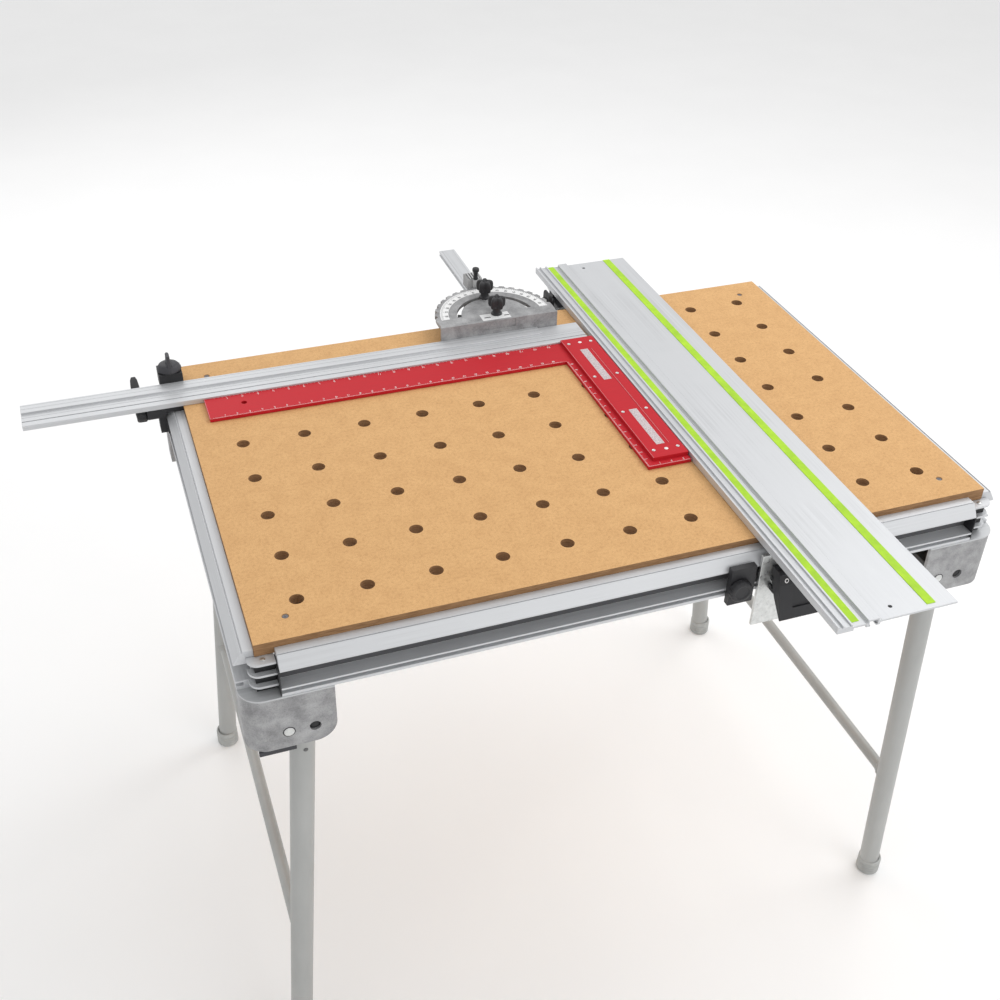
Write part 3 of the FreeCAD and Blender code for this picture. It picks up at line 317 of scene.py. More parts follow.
EDGE_MM = {
    "top_board": 0.6, "bracket_front_left": 1.6, "bracket_front_right": 1.6, "bracket_rear_left": 1.6,
    "bracket_rear_right": 1.6, "leg_heads_left": 2, "leg_heads_right": 2, "protractor_plate": 0.8,
    "front_clamp_block": 2, "rear_clamp_block": 2, "fence_jaw": 3, "side_jaw": 2.5, "bar_saddle": 1.5,
    "height_box": 1.5, "rear_carriage": 1.5, "head_bar": 0.6, "fence_profile": 0.5, "rail_profile": 0.35,
    "profile_front": 0.5, "profile_rear": 0.5, "profile_left": 0.5, "profile_right": 0.5,
    "corner_blocks": 0.8, "corner_ribs": 0.4, "front_plate": 0.8, "rear_plate": 0.8, "square_blade": 0.5,
    "square_cheek": 0.6, "index_guide": 0.6, "rail_hinge_knuckles": 0.8,
}


# ---------------------------------------------------------------------------------------------------------
# Mesh building
# ---------------------------------------------------------------------------------------------------------
def box_of(node):
    """The low and high corner of a CAD piece."""
    return [Vector(corner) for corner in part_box(node)]


def centre(node):
    """The middle of a CAD piece's box."""
    low, high = box_of(node)
    return (low + high) / 2


def made(name, mesh_builder, look, body, stands_for=(), smooth=True, slot=None):
    """A new piece from bmesh code: finished, on its body, and replacing the CAD nodes it stands for."""
    mesh = bpy.data.meshes.new(name)
    bm = bmesh.new()
    mesh_builder(bm)
    bmesh.ops.remove_doubles(bm, verts=bm.verts, dist=1e-6)
    bmesh.ops.recalc_face_normals(bm, faces=bm.faces)
    bm.to_mesh(mesh)
    bm.free()
    obj = bpy.data.objects.new(name, mesh)
    bpy.context.scene.collection.objects.link(obj)
    for polygon in mesh.polygons:
        polygon.use_smooth = smooth
    paint(obj, look)
    if stands_for:
        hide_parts(*stands_for)
    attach(obj, body)
    return obj


def bevelled(obj, width, segments=3, angle=32):
    """Rounds a piece's edges that are sharper than the angle."""
    edge = obj.modifiers.new("edge", "BEVEL")
    edge.width, edge.segments, edge.limit_method = width, segments, "ANGLE"
    edge.angle_limit = math.radians(angle)
    obj.modifiers.new("normals", "WEIGHTED_NORMAL").keep_sharp = True
    return obj


def oriented(origin, axis, turn=0.0):
    """The placement whose Z lies along an axis, turned about it by an angle in degrees."""
    spin = Quaternion((0, 0, 1), math.radians(turn))
    lean = Vector((0, 0, 1)).rotation_difference(Vector(axis))
    return Matrix.Translation(origin) @ (lean @ spin).to_matrix().to_4x4()


def scaled(across, along, rings):
    """Rings of a turned body brought to size: radii times across, heights times along."""
    return [(across * radius, along * height) for radius, height in rings]


def add_loft(bm, loops):
    """Skins a row of loops that have equally many corners, and closes both ends."""
    count = len(loops[0])
    for lower, upper in zip(loops, loops[1:]):
        for i in range(count):
            bm.faces.new((lower[i], lower[(i + 1) % count], upper[(i + 1) % count], upper[i]))
    bm.faces.new(reversed(loops[0]))
    bm.faces.new(loops[-1])


def add_turned(bm, placement, rings, sides=48, shape=None):
    """A closed turned body. Each ring is (radius, height); shape(angle, height) scales the radius."""
    loops = []
    for radius, height in rings:
        loop = []
        for i in range(sides):
            angle = 2 * math.pi * i / sides
            reach = radius * (shape(angle, height) if shape else 1)
            spot = Vector((reach * math.cos(angle), reach * math.sin(angle), height))
            loop.append(bm.verts.new(placement @ spot))
        loops.append(loop)
    add_loft(bm, loops)


def add_box(bm, low, high, placement=None):
    """A box between two corners."""
    xs, ys, zs = zip(low, high)
    spots = [Vector((x, y, z)) for x in xs for y in ys for z in zs]
    verts = [bm.verts.new(placement @ spot if placement else spot) for spot in spots]
    for a, b, c, d in ((0, 1, 3, 2), (4, 6, 7, 5), (0, 4, 5, 1), (2, 3, 7, 6), (0, 2, 6, 4), (1, 5, 7, 3)):
        bm.faces.new((verts[a], verts[b], verts[c], verts[d]))


# ---------------------------------------------------------------------------------------------------------
# Printed marks: ticks and plain numerals as thin raised strips
# ---------------------------------------------------------------------------------------------------------
SEGMENTS = {"A": ((-0.5, 1), (0.5, 1)), "B": ((0.5, 0), (0.5, 1)), "C": ((0.5, -1), (0.5, 0)),
            "D": ((-0.5, -1), (0.5, -1)), "E": ((-0.5, -1), (-0.5, 0)), "F": ((-0.5, 0), (-0.5, 1)),
            "G": ((-0.5, 0), (0.5, 0))}
DIGITS = {"0": "ABCDEF", "1": "BC", "2": "ABGED", "3": "ABGCD", "4": "FGBC", "5": "AFGCD", "6": "AFGECD",
          "7": "ABC", "8": "ABCDEFG", "9": "ABCDFG"}
INK = 0.08 * MM


def add_stroke(bm, start, end, width, up=Vector((0, 0, 1))):
    """A flat strip from start to end, lying just above the surface that faces up."""
    along = (end - start).normalized()
    across = up.cross(along).normalized() * width / 2
    lift = up * INK
    start, end = start - along * width * 0.3, end + along * width * 0.3
    low = [bm.verts.new(p) for p in (start - across, end - across, end + across, start + across)]
    high = [bm.verts.new(p + lift) for p in (start - across, end - across, end + across, start + across)]
    bm.faces.new(high)
    bm.faces.new(reversed(low))
    for i in range(4):
        bm.faces.new((low[i], low[(i + 1) % 4], high[(i + 1) % 4], high[i]))


def add_number(bm, text, spot, reading, height, width, up=Vector((0, 0, 1))):
    """A number centred on a spot; reading is the direction in which it is read."""
    rise = up.cross(reading).normalized()
    for place, digit in enumerate(str(text)):
        middle = spot + reading * height * 0.72 * (place - (len(str(text)) - 1) / 2)
        for letter in DIGITS[digit]:
            start, end = [middle + (reading * u * 0.45 + rise * v * 0.5) * height
                          for u, v in SEGMENTS[letter]]
            add_stroke(bm, start, end, width, up)


def add_scale(bm, start, along, inwards, length, step, every, tick=2.2, numeral=3.6, reading=None):
    """Ticks from a start along an edge, each so many-th one longer and numbered."""
    reading = reading or along
    count = int(length / step + 0.01)
    for i in range(1, count):
        spot = start + along * step * i
        longer = i % every == 0
        reach = tick * (1.8 if longer else 1)
        add_stroke(bm, spot + inwards * 0.5 * MM, spot + inwards * reach * MM, 0.45 * MM)
        if longer:
            add_number(bm, i // every, spot + inwards * (tick * 1.8 + numeral * 0.8) * MM, reading,
                       numeral * MM, 0.55 * MM)


BLADE_WIDTH = 62 * MM


def square_marks():
    """Scales, dots and screw heads of the setting square."""
    low, high = box_of("square_blade")
    cheek_low, cheek_high = box_of("square_cheek")
    blade_front, top = high.y - BLADE_WIDTH, cheek_low.z
    x, y = Vector((1, 0, 0)), Vector((0, 1, 0))

    def marks(bm):
        blade = cheek_low.x - low.x - 22 * MM
        add_scale(bm, Vector((low.x + 10 * MM, high.y, top)), x, -y, blade, 6.35 * MM, 4, 2.0, 4.2)
        add_scale(bm, Vector((low.x + 4 * MM, blade_front, top)), x, y, blade, 2 * MM, 10, 2.0, 3.4)
        tongue = high.y - BLADE_WIDTH - low.y
        left = cheek_low.x - 12.5 * MM
        add_scale(bm, Vector((left, low.y, top)), y, x, tongue, 2 * MM, 10, 1.6, 3.0, y)
        add_scale(bm, Vector((left, low.y, top)), x, y, high.x - left, 2 * MM, 10, 1.6, 3.0)

    made("square_marks", marks, "mark_white", "setting_square", smooth=False)

    def dots(bm):
        for share in (0.047, 0.957):
            y = cheek_low.y + share * (cheek_high.y - cheek_low.y)
            spot = Vector((cheek_low.x + 30 * MM, y, cheek_high.z))
            add_turned(bm, Matrix.Translation(spot), scaled(MM, INK, ((3.2, 0), (3.2, 2), (2.6, 4))), 20)

    made("square_dots", dots, "mark_white", "setting_square")

    def screws(bm):
        for spot in screw_spots(cheek_low, cheek_high):
            add_turned(bm, Matrix.Translation(spot), scaled(MM, MM, (
                (2.9, 0), (2.9, 0.35), (2.3, 0.6), (1.6, 0.6), (1.4, 0.05), (0.3, 0))), 24)

    made("square_screw_heads", screws, "steel", "setting_square", ["square_screws"])
    bright_edges(low, high, blade_front, cheek_low, cheek_high, top)


def screw_spots(low, high):
    """The eight screws along the two long sides of the square's cheek."""
    for step in range(4):
        for x in (low.x + 9 * MM, high.x - 9 * MM):
            yield Vector((x, low.y + (19 + 115 * step) * MM, high.z))


def bright_edges(low, high, blade_front, cheek_low, cheek_high, top):
    """Thin pale pink lines along the square's edges and on its cheek, painted highlights where light catches
    the edges.
    """
    tongue_left = cheek_low.x - 13 * MM
    inside = Vector((0.35 * MM, 0.35 * MM, 0))
    lines = [((low.x, blade_front), (tongue_left, blade_front)),
             ((tongue_left, low.y), (tongue_left, blade_front)),
             ((tongue_left, low.y), (high.x, low.y)), ((low.x, blade_front), (low.x, high.y))]

    def edges(bm):
        for start, end in lines:
            add_stroke(bm, Vector((*start, top)) + inside, Vector((*end, top)) + inside, 0.6 * MM)
        # The line 41.2 mm into the cheek is the painted highlight on the lit edge of a groove in the cheek;
        # the other runs along the cheek's edge.
        for offset, near, far, width in ((41.2 * MM, cheek_low.y + 32 * MM, cheek_low.y + 340 * MM, 0.6 * MM),
                                         (0.5 * MM, cheek_low.y, cheek_high.y, 0.5 * MM)):
            x = cheek_low.x + offset
            add_stroke(bm, Vector((x, near, cheek_high.z)), Vector((x, far, cheek_high.z)), width)

    made("square_edge_highlights", edges, "pink_highlight", "setting_square", smooth=False)


def protractor_marks():
    """Degree scale with plain numbers, two plain bars on the label, and a black strip under the slot's left
    end as painted shade.
    """
    top = box_of("protractor_scale")[1].z
    knob = centre("pivot_knob")
    pivot = Vector((knob.x, knob.y, top))

    def spoke(radius, degree):
        angle = math.radians(degree)
        return pivot + Vector((math.cos(angle), math.sin(angle), 0)) * radius * MM

    def ticks(bm):
        for degree in range(4, 177, 2):
            tenth = degree % 10 == 0
            add_stroke(bm, spoke(92.5 if tenth else 95.5, degree), spoke(98.4, degree), 0.55 * MM)
            if tenth:
                ray = (spoke(1, degree) - pivot).normalized()
                add_number(bm, abs(90 - degree), spoke(88.5, degree), Vector((ray.y, -ray.x, 0)),
                           4.2 * MM, 0.7 * MM)
        for x, reach in ((-20, 4.6), (15.5, 3.6)):
            spot = pivot + Vector((x, -9.5, 0)) * MM
            for half, width in ((reach, 2.6), (reach * 1.3, 1.2)):
                add_stroke(bm, spot - Vector((half * MM, 0, 0)), spot + Vector((half * MM, 0, 0)), width * MM)

    made("protractor_marks", ticks, "mark_black", "fence", smooth=False)

    # A thin black strip under the left end of the slot: painted shade where the white floor would show
    # through.
    def liner(bm):
        floor_z = pivot.z - 6.6 * MM
        for i in range(12):
            corners = [spoke(radius, 157 + 1.5 * step) for step in (i, i + 1) for radius in (61.3, 68.7)]
            lower, upper = [[bm.verts.new((p.x, p.y, z)) for p in corners]
                            for z in (floor_z, floor_z + 0.6 * MM)]
            for c, d in ((0, 1), (1, 3), (3, 2), (2, 0)):
                bm.faces.new((lower[c], lower[d], upper[d], upper[c]))
            for face in (lower, upper):
                bm.faces.new((face[0], face[1], face[3], face[2]))

    made("slot_end_shade", liner, "black", "fence", smooth=False)


# ---------------------------------------------------------------------------------------------------------
# Knobs, levers and pins
# ---------------------------------------------------------------------------------------------------------
def lobes(count, depth):
    """A shape for a turned body whose rim swells into rounded lobes above its stem."""
    def shape(angle, height):
        return 1 + depth * math.cos(count * angle)
    return shape


def star_knob(node, body):
    """A five-lobed grip on a waisted stem."""
    low, high = box_of(node)
    mid, reach, tall = (low + high) / 2, (high.x - low.x) / 2, high.z - low.z
    flare = tall * 0.40

    def build(bm):
        base = Matrix.Translation((mid.x, mid.y, low.z))
        add_turned(bm, base, [(reach * 0.62, 0), (reach * 0.62, tall * 0.06), (reach * 0.46, tall * 0.12),
                              (reach * 0.42, flare)], 40)
        top = base @ Matrix.Translation((0, 0, flare - 0.5 * MM))
        span = tall - flare + 0.5 * MM
        profile = ((0.50, 0), (0.72, 0.06), (0.80, 0.20), (0.81, 0.62), (0.78, 0.80), (0.70, 0.92),
                   (0.58, 0.98), (0.44, 1.0), (0.30, 0.97), (0.20, 0.90))
        add_turned(bm, top, scaled(reach, span, profile), 80, lobes(5, 0.24))

    return bevelled(made(node + "_look", build, "black", body, [node]), 0.3 * MM)


def ribbed(count, depth):
    """Narrow grooves around a turned body."""
    def shape(angle, height):
        return 1 - depth * (0.5 + 0.5 * math.cos(count * angle)) ** 4
    return shape


def clamp_knob(node, body, axis, wing=0.0, outward=1):
    """A turned grip with finger ribs, a dished face and, if asked for, a raised wing across it."""
    low, high = box_of(node)
    index = "xyz".index(axis)
    direction = Vector([outward if i == index else 0 for i in range(3)])
    others = [i for i in range(3) if i != index]
    start = (low + high) / 2
    start[index] = low[index] if outward > 0 else high[index]
    tall = high[index] - low[index]
    reach = min(high[i] - low[i] for i in others) / 2
    deep = tall * (0.62 if wing else 1.0)
    placement = oriented(start, direction)

    def build(bm):
        profile = [(0.80, 0), (0.93, 0.03), (1.0, 0.12), (1.0, 0.70), (0.97, 0.85), (0.90, 0.95), (0.80, 1.0),
                   (0.66, 0.99), (0.60, 0.90), (0.25, 0.86)]
        add_turned(bm, placement, scaled(reach, deep, profile), 96, ribbed(16, 0.045))
        if wing:
            length = max(high[i] - low[i] for i in others) / 2
            loops = []
            for share, half_length, half_thick in ((0.45, 0.99, 0.24), (0.85, 0.99, 0.20), (0.97, 0.90, 0.15),
                                                   (1.0, 0.80, 0.10)):
                a, b = length * half_length, reach * half_thick
                corners = [(-a, -b), (-a + b, -b * 1.2), (a - b, -b * 1.2), (a, -b), (a, b), (a - b, b * 1.2),
                           (-a + b, b * 1.2), (-a, b)]
                turned = [(y, x) if wing == "across" else (x, y) for x, y in corners]
                loops.append([bm.verts.new(placement @ Vector((x, y, tall * share))) for x, y in turned])
            add_loft(bm, loops)

    return bevelled(made(node + "_look", build, "black", body, [node]), 0.4 * MM)


def fence_dial():
    """The stepped round knob on the fence's clamp."""
    low, high = box_of("fence_jaw_knob")
    mid, reach, tall = (low + high) / 2, (high.x - low.x) / 2, high.z - low.z
    base = Matrix.Translation((mid.x, mid.y, low.z))

    def build(bm):
        profile = ((0.93, 0), (0.99, 0.02), (1.0, 0.07), (0.98, 0.13), (0.93, 0.18), (0.86, 0.27),
                   (0.78, 0.35), (0.66, 0.40), (0.50, 0.42), (0.30, 0.42))
        add_turned(bm, base, scaled(reach, tall, profile), 72, ribbed(24, 0.02))
        loops = []
        for height, half_x, half_y in ((0.15, 0.27, 0.80), (0.36, 0.22, 0.78), (0.55, 0.165, 0.62),
                                       (0.80, 0.15, 0.50), (0.95, 0.15, 0.46), (1.0, 0.11, 0.40)):
            a, b, z = reach * half_x, reach * half_y, tall * height
            loops.append([bm.verts.new(base @ Vector((x, y, z))) for x, y in
                          ((-a, -b + a), (-a * 0.6, -b), (a * 0.6, -b), (a, -b + a), (a, b - a), (a * 0.6, b),
                           (-a * 0.6, b), (-a, b - a))])
        add_loft(bm, loops)

    bevelled(made("fence_jaw_knob_look", build, "black_soft", "jaw_knob", ["fence_jaw_knob"]), 0.5 * MM)


def index_plunger():
    """The sprung pin: stem, collar and a grooved button on top."""
    low, high = box_of("index_pin")
    mid, tall, reach = (low + high) / 2, high.z - low.z, (high.x - low.x) / 2
    profile = ((0.30, 0), (0.30, 0.44), (0.62, 0.45), (0.68, 0.47), (0.68, 0.56), (0.60, 0.58), (0.60, 0.70),
               (0.66, 0.72), (0.66, 0.76), (0.52, 0.80), (0.86, 0.83), (1.0, 0.86), (1.0, 0.94),
               (0.92, 0.99), (0.60, 1.0), (0.3, 0.985))

    def grooved(angle, height):
        return 1 - 0.05 * (0.5 + 0.5 * math.cos(18 * angle)) if height > tall * 0.84 else 1

    def build(bm):
        base = Matrix.Translation((mid.x, mid.y, low.z))
        add_turned(bm, base, scaled(reach, tall, profile), 40, grooved)

    made("index_pin_look", build, "black", "index", ["index_pin"])


def side_lever():
    """The cam lever under the fence's left end: a round hub and a tapering, slightly hooked handle."""
    high = box_of("side_jaw_lever")[1]
    hub = JOINT_SPOT["side_lever_turn"]
    face, reach = high.x, 15 * MM
    rise = math.atan2(high.z - 3 * MM - hub.z, high.y - 2 * MM - hub.y)

    hub_rings = ((0.86, 0), (0.98, 1), (1.0, 3), (1.0, 11), (0.96, 14), (0.88, 15.6), (0.7, 16), (0.55, 15),
                 (0.2, 14.6))
    handle = ((-11, 2.0, 16, 3.6), (0, 1.2, 16.8, 4.0), (34, 1.6, 16.6, 3.6), (60, 2.2, 16.0, 2.8),
              (74, 3.4, 14.8, 1.9), (81, 5.5, 12.5, 0.9))

    def build(bm):
        root = Vector((face, hub.y, hub.z))
        add_turned(bm, oriented(root, (-1, 0, 0)), scaled(reach, MM, hub_rings), 64, ribbed(12, 0.05))
        along = Vector((0, math.cos(rise), math.sin(rise)))
        up = Vector((0, -math.sin(rise), math.cos(rise)))
        loops = []
        for distance, near, far, half in handle:
            section = ((near, -half * 0.6), (near + 1.5, -half), (far - 1.5, -half), (far, -half * 0.6),
                       (far, half * 0.6), (far - 1.5, half), (near + 1.5, half), (near, half * 0.6))
            loops.append([bm.verts.new(root + (along * distance + up * z - Vector((x, 0, 0))) * MM)
                          for x, z in section])
        add_loft(bm, loops)

    bevelled(made("side_jaw_lever_look", build, "black", "side_lever", ["side_jaw_lever"]), 0.6 * MM)


def index_guide():
    """Silver guide on the bar: a round boss about the pin and a body with upright ribs behind it, with painted
    shade in the valleys between them.
    """
    low, high = box_of("index_guide")
    pin = centre("index_pin")
    tall, half = high.z - low.z, (high.x - low.x) / 2
    boss = ((4.4, 0), (4.4, 0.55), (4.4, 0.94), (4.0, 1.0), (3.2, 1.0))
    ribs = 6

    def build(bm):
        base = Matrix.Translation((pin.x, pin.y, low.z))
        add_turned(bm, base, scaled(MM, tall, boss), 48, ribbed(14, 0.10))
        add_box(bm, (pin.x - half * 0.78, pin.y + 3.8 * MM, low.z),
                (pin.x + half * 0.78, high.y, high.z - 1.5 * MM))
        for side in (-1, 1):
            x0, x1 = sorted((pin.x + side * half * 0.74, pin.x + side * half))
            for i in range(ribs):
                y = pin.y + 4.5 * MM + (high.y - pin.y - 6.5 * MM) * i / (ribs - 1)
                add_box(bm, (x0, y, low.z), (x1, y + 1.8 * MM, high.z - 1.0 * MM))
        for i in range(4):
            x = pin.x + half * (0.36 * i - 0.54)
            add_box(bm, (x - 1.2 * MM, pin.y + 4.2 * MM, high.z - 2 * MM),
                    (x + 1.2 * MM, high.y - 0.4 * MM, high.z - 0.2 * MM))

    bevelled(made("index_guide_look", build, "bright_cast", "head_carrier", ["index_guide"]), 0.35 * MM)

    # Dark strips between the guide's top bars and in the gaps between its ribs: painted shade in the valleys.
    def valleys(bm):
        add_box(bm, (pin.x - half * 0.76, pin.y + 4.4 * MM, high.z - 1.6 * MM),
                (pin.x + half * 0.76, high.y - 0.8 * MM, high.z - 1.3 * MM))
        for side in (-1, 1):
            x0, x1 = sorted((pin.x + side * half * 0.76, pin.x + side * half * 0.84))
            add_box(bm, (x0, pin.y + 5 * MM, low.z + 1 * MM), (x1, high.y - 1 * MM, high.z - 2 * MM))

    made("index_guide_valley_shade", valleys, "dark_cast_and_shade", "head_carrier", smooth=False)


# ---------------------------------------------------------------------------------------------------------
# Screws, rivets, boots and other small hardware
# ---------------------------------------------------------------------------------------------------------
def add_cross_screw(bm, placement, radius):
    """A countersunk head with a cross recess; Z of the placement points out of the head."""
    rings = [(radius * 0.6, -2.4 * MM), (radius, -0.3 * MM), (radius, 0), (radius * 0.86, 0.2 * MM)]
    add_turned(bm, placement, rings, 36)
    for turn in (0, math.pi / 2):
        arm = placement @ Matrix.Rotation(turn, 4, "Z")
        add_box(bm, (-radius * 0.5, -radius * 0.09, 0.15 * MM), (radius * 0.5, radius * 0.09, 0.24 * MM), arm)


def add_socket_head(bm, placement, radius, tall):
    """A cylinder head with a hollow hexagon and a rounded rim."""
    add_turned(bm, placement, scaled(radius, tall, ((1, 0), (1, 0.8), (0.9, 1), (0.55, 1))), 36)
    socket = placement @ Matrix.Translation((0, 0, tall * 0.98))
    add_turned(bm, socket, scaled(radius, MM, ((0.5, 0), (0.5, 0.12), (0.3, 0.12))), 6)



def board_screws():
    """The cross screws near the board's corners."""
    low, high = box_of("board_screws")
    spots = [Vector((x, y, high.z - 0.6 * MM)) for x in (low.x + 4.5 * MM, high.x - 4.5 * MM)
             for y in (low.y + 4.5 * MM, high.y - 4.5 * MM)]

    def heads(bm):
        for spot in spots:
            add_cross_screw(bm, Matrix.Translation(spot) @ Matrix.Rotation(0.5, 4, "Z"), 4.3 * MM)

    made("board_screw_heads", heads, "screw_dark", "table", ["board_screws"])


def boots():
    """Ringed plastic boots on the legs' lower ends."""
    profile = [(0.80, 0.0), (0.95, 0.02), (1.0, 0.08)]
    for i in range(4):
        start = 0.14 + i * 0.17
        profile += [(1.0, start), (0.955, start + 0.025), (0.955, start + 0.065), (1.0, start + 0.09)]
    profile += [(1.0, 0.86), (0.99, 0.93), (0.96, 0.98), (0.92, 1.0), (0.80, 1.0), (0.80, 0.9), (0.3, 0.88)]
    for side in ("left", "right"):
        low, high = box_of(f"foot_caps_{side}")
        x, reach, tall = (low.x + high.x) / 2, (high.x - low.x) / 2, high.z - low.z

        def build(bm):
            for y in (low.y + reach, high.y - reach):
                add_turned(bm, Matrix.Translation((x, y, 0)), scaled(reach, tall, profile), 56)

        made(f"foot_caps_{side}_look", build, "boot", f"{side}_legs", [f"foot_caps_{side}"])


# How far a leg leans outwards for each unit down, and the height of its rivet over the floor.
LEG_SPLAY = math.tan(math.radians(4.1))
RIVET_HEIGHT = 708 * MM


def leg_details():
    """Rivets near each leg's top and collars where the stretcher meets the legs."""
    collar = scaled(MM, MM, ((13.5, -2), (13.5, 2.0), (12.6, 3.2), (11.2, 3.8), (10.8, 9), (10.3, 9.6)))
    rivet = scaled(MM, MM, ((3.4, 0), (3.4, 0.7), (2.9, 1.3), (1.6, 1.7), (0.5, 1.8)))
    for side, sign in (("left", -1), ("right", 1)):
        bar_low, bar_high = box_of(f"stretcher_{side}")
        bar = (bar_low + bar_high) / 2
        tube_front = box_of(f"leg_tube_front_{side}")[0].y

        def collars(bm):
            for y, way in ((bar_low.y, 1), (bar_high.y, -1)):
                start = Vector((bar.x, y - way * 0.5 * MM, bar.z))
                add_turned(bm, oriented(start, (0, way, 0)), collar, 40)

        made(f"stretcher_collars_{side}", collars, "tube", f"{side}_legs")

        def rivets(bm):
            x = bar.x + sign * (bar.z - RIVET_HEIGHT) * LEG_SPLAY - sign * 1.0 * MM
            for way in (-1, 1):
                start = Vector((x, -way * tube_front - way * 0.6 * MM, RIVET_HEIGHT))
                add_turned(bm, oriented(start, (0, way, 0)), rivet, 24)

        made(f"leg_rivets_{side}", rivets, "rivet", f"{side}_legs")


def pivot_heads():
    """Bright ends of the pivot pins, each in a dark ring of painted shadow on the bracket's outer cheek."""
    low, high = box_of("pivot_pins")
    spots = [(JOINT_SPOT[f"{side}_leg_fold"], y, way) for side in ("left", "right")
             for y, way in ((low.y, -1), (high.y, 1))]
    head = scaled(MM, MM, ((7.0, 0), (7.0, 0.5), (6.2, 0.9), (5.6, 0.93), (5.2, 0.75), (1.0, 0.75)))
    # The thin black ring round each head is painted shadow about the pin's end.
    ring = scaled(MM, MM, ((8.4, 0), (8.4, 0.12), (7.0, 0.14)))
    for name, rings, inset, look in (("heads", head, 0.95, "bright_pin"), ("rings", ring, 1.0, "black")):
        def build(bm):
            for pivot, y, way in spots:
                start = Vector((pivot.x, y - way * inset * MM, pivot.z))
                add_turned(bm, oriented(start, (0, way, 0)), rings, 40)

        made(f"pivot_{name}", build, look, "table")


# From a leg's pivot to the lock recess beside it, and the radius of a bracket's upright outer corner.
LOCK_OFFSET = 35 * MM
BRACKET_CORNER = 30 * MM


def bracket_lip(node, low, high, side, end):
    """The light machined lip round a bracket's top, with the bracket's own outer corner radius."""
    x_out, x_in = (low.x, high.x) if side < 0 else (high.x, low.x)
    y_out, y_in = (low.y, high.y) if end < 0 else (high.y, low.y)
    proud = 0.7 * MM
    middle = Vector((x_out - side * BRACKET_CORNER, y_out - end * BRACKET_CORNER, 0))
    outline = [Vector((x_in, y_out + end * proud, 0))]
    for i in range(13):
        angle = math.pi / 2 * (1 - i / 12)
        spoke = Vector((side * math.cos(angle), end * math.sin(angle), 0))
        outline.append(middle + spoke * (BRACKET_CORNER + proud))
    outline += [Vector((x_out + side * proud, y_in, 0)), Vector((x_in, y_in, 0))]

    def lip(bm):
        heights = (high.z - 2.6 * MM, high.z + 0.15 * MM)
        add_loft(bm, [[bm.verts.new(p + Vector((0, 0, z))) for p in outline] for z in heights])

    bevelled(made(f"{node}_lip", lip, "machined", "table", smooth=False), 0.35 * MM, 2)


def bracket_details():
    """Dark floors of the lock recesses, the machined lips, and the strips under the left brackets."""
    button = scaled(MM, MM, ((7.75, 0), (7.75, 0.3), (6.8, 0.4), (6.2, 1.6), (4.6, 2.0), (0.8, 2.0)))
    for node in [n for n in NODES if n.startswith("bracket_")]:
        low, high = box_of(node)
        side = -1 if low.x < 0 else 1
        end = -1 if low.y < 0 else 1
        pivot = JOINT_SPOT["left_leg_fold" if side < 0 else "right_leg_fold"]
        face = low.y if end < 0 else high.y

        def recess(bm):
            start = Vector((pivot.x + LOCK_OFFSET, face - end * 4.45 * MM, pivot.z))
            add_turned(bm, oriented(start, (0, end, 0)), button, 36)

        made(f"{node}_recess", recess, "black_deep", "table")
        bracket_lip(node, low, high, side, end)
        if side < 0:
            def buffer(bm):
                y0, y1 = sorted((face - end * 0.4 * MM, face - end * 5.4 * MM))
                add_box(bm, (low.x + 14.5 * MM, y0, low.z - 8 * MM),
                        (low.x + 64.5 * MM, y1, low.z + 0.2 * MM))

            bevelled(made(f"{node}_buffer", buffer, "black_soft", "table", smooth=False), 1.2 * MM, 3)


def groove_floors():
    """Dull dark strips on the floors of the clamping grooves in the four frame profiles, as painted shade."""
    for node, outer, sign in (("profile_front", 1, -1), ("profile_rear", 1, 1),
                              ("profile_left", 0, -1), ("profile_right", 0, 1)):
        low, high = box_of(node)
        face = (high if sign > 0 else low)[outer] - sign * 20.9 * MM
        start, end = low.copy(), high.copy()
        start[outer], end[outer] = sorted((face, face + sign * 0.25 * MM))
        start.z, end.z = low.z + 14.4 * MM, low.z + 41.6 * MM
        start[1 - outer] += 0.5 * MM
        end[1 - outer] -= 0.5 * MM

        def strip(bm):
            add_box(bm, start, end)

        made(f"{node}_groove_shade_strip", strip, "groove_shade", "table", smooth=False)


# Heights of the rail's ridges over its deck and of the fence's upper step, and where that step ends.
RIB_RISE = 4.5 * MM
FENCE_STEP = 3 * MM
FENCE_TOP_END = 80 * MM


def rail_details():
    """Dark plugs in the rail's end holes and the die lines beside its raised strip."""
    low, high = box_of("rail_profile")
    deck = high.z - RIB_RISE
    plug = scaled(MM, MM, ((2.98, 0), (2.98, 0.8), (2.2, 0.9), (0.6, 0.9)))

    def holes(bm):
        for y in (low.y + 20 * MM, high.y - 20 * MM):
            add_turned(bm, Matrix.Translation((low.x + 92 * MM, y, deck - 2.6 * MM)), plug, 24)

    made("rail_hole_plugs", holes, "black", "rail")

    def lines(bm):
        for offset in (43.0, 66.5):
            start, end = [Vector((low.x + offset * MM, y, deck))
                          for y in (low.y + 0.4 * MM, high.y - 0.4 * MM)]
            add_stroke(bm, start, end, 0.45 * MM)

    made("rail_die_lines", lines, "die_line", "rail", smooth=False)


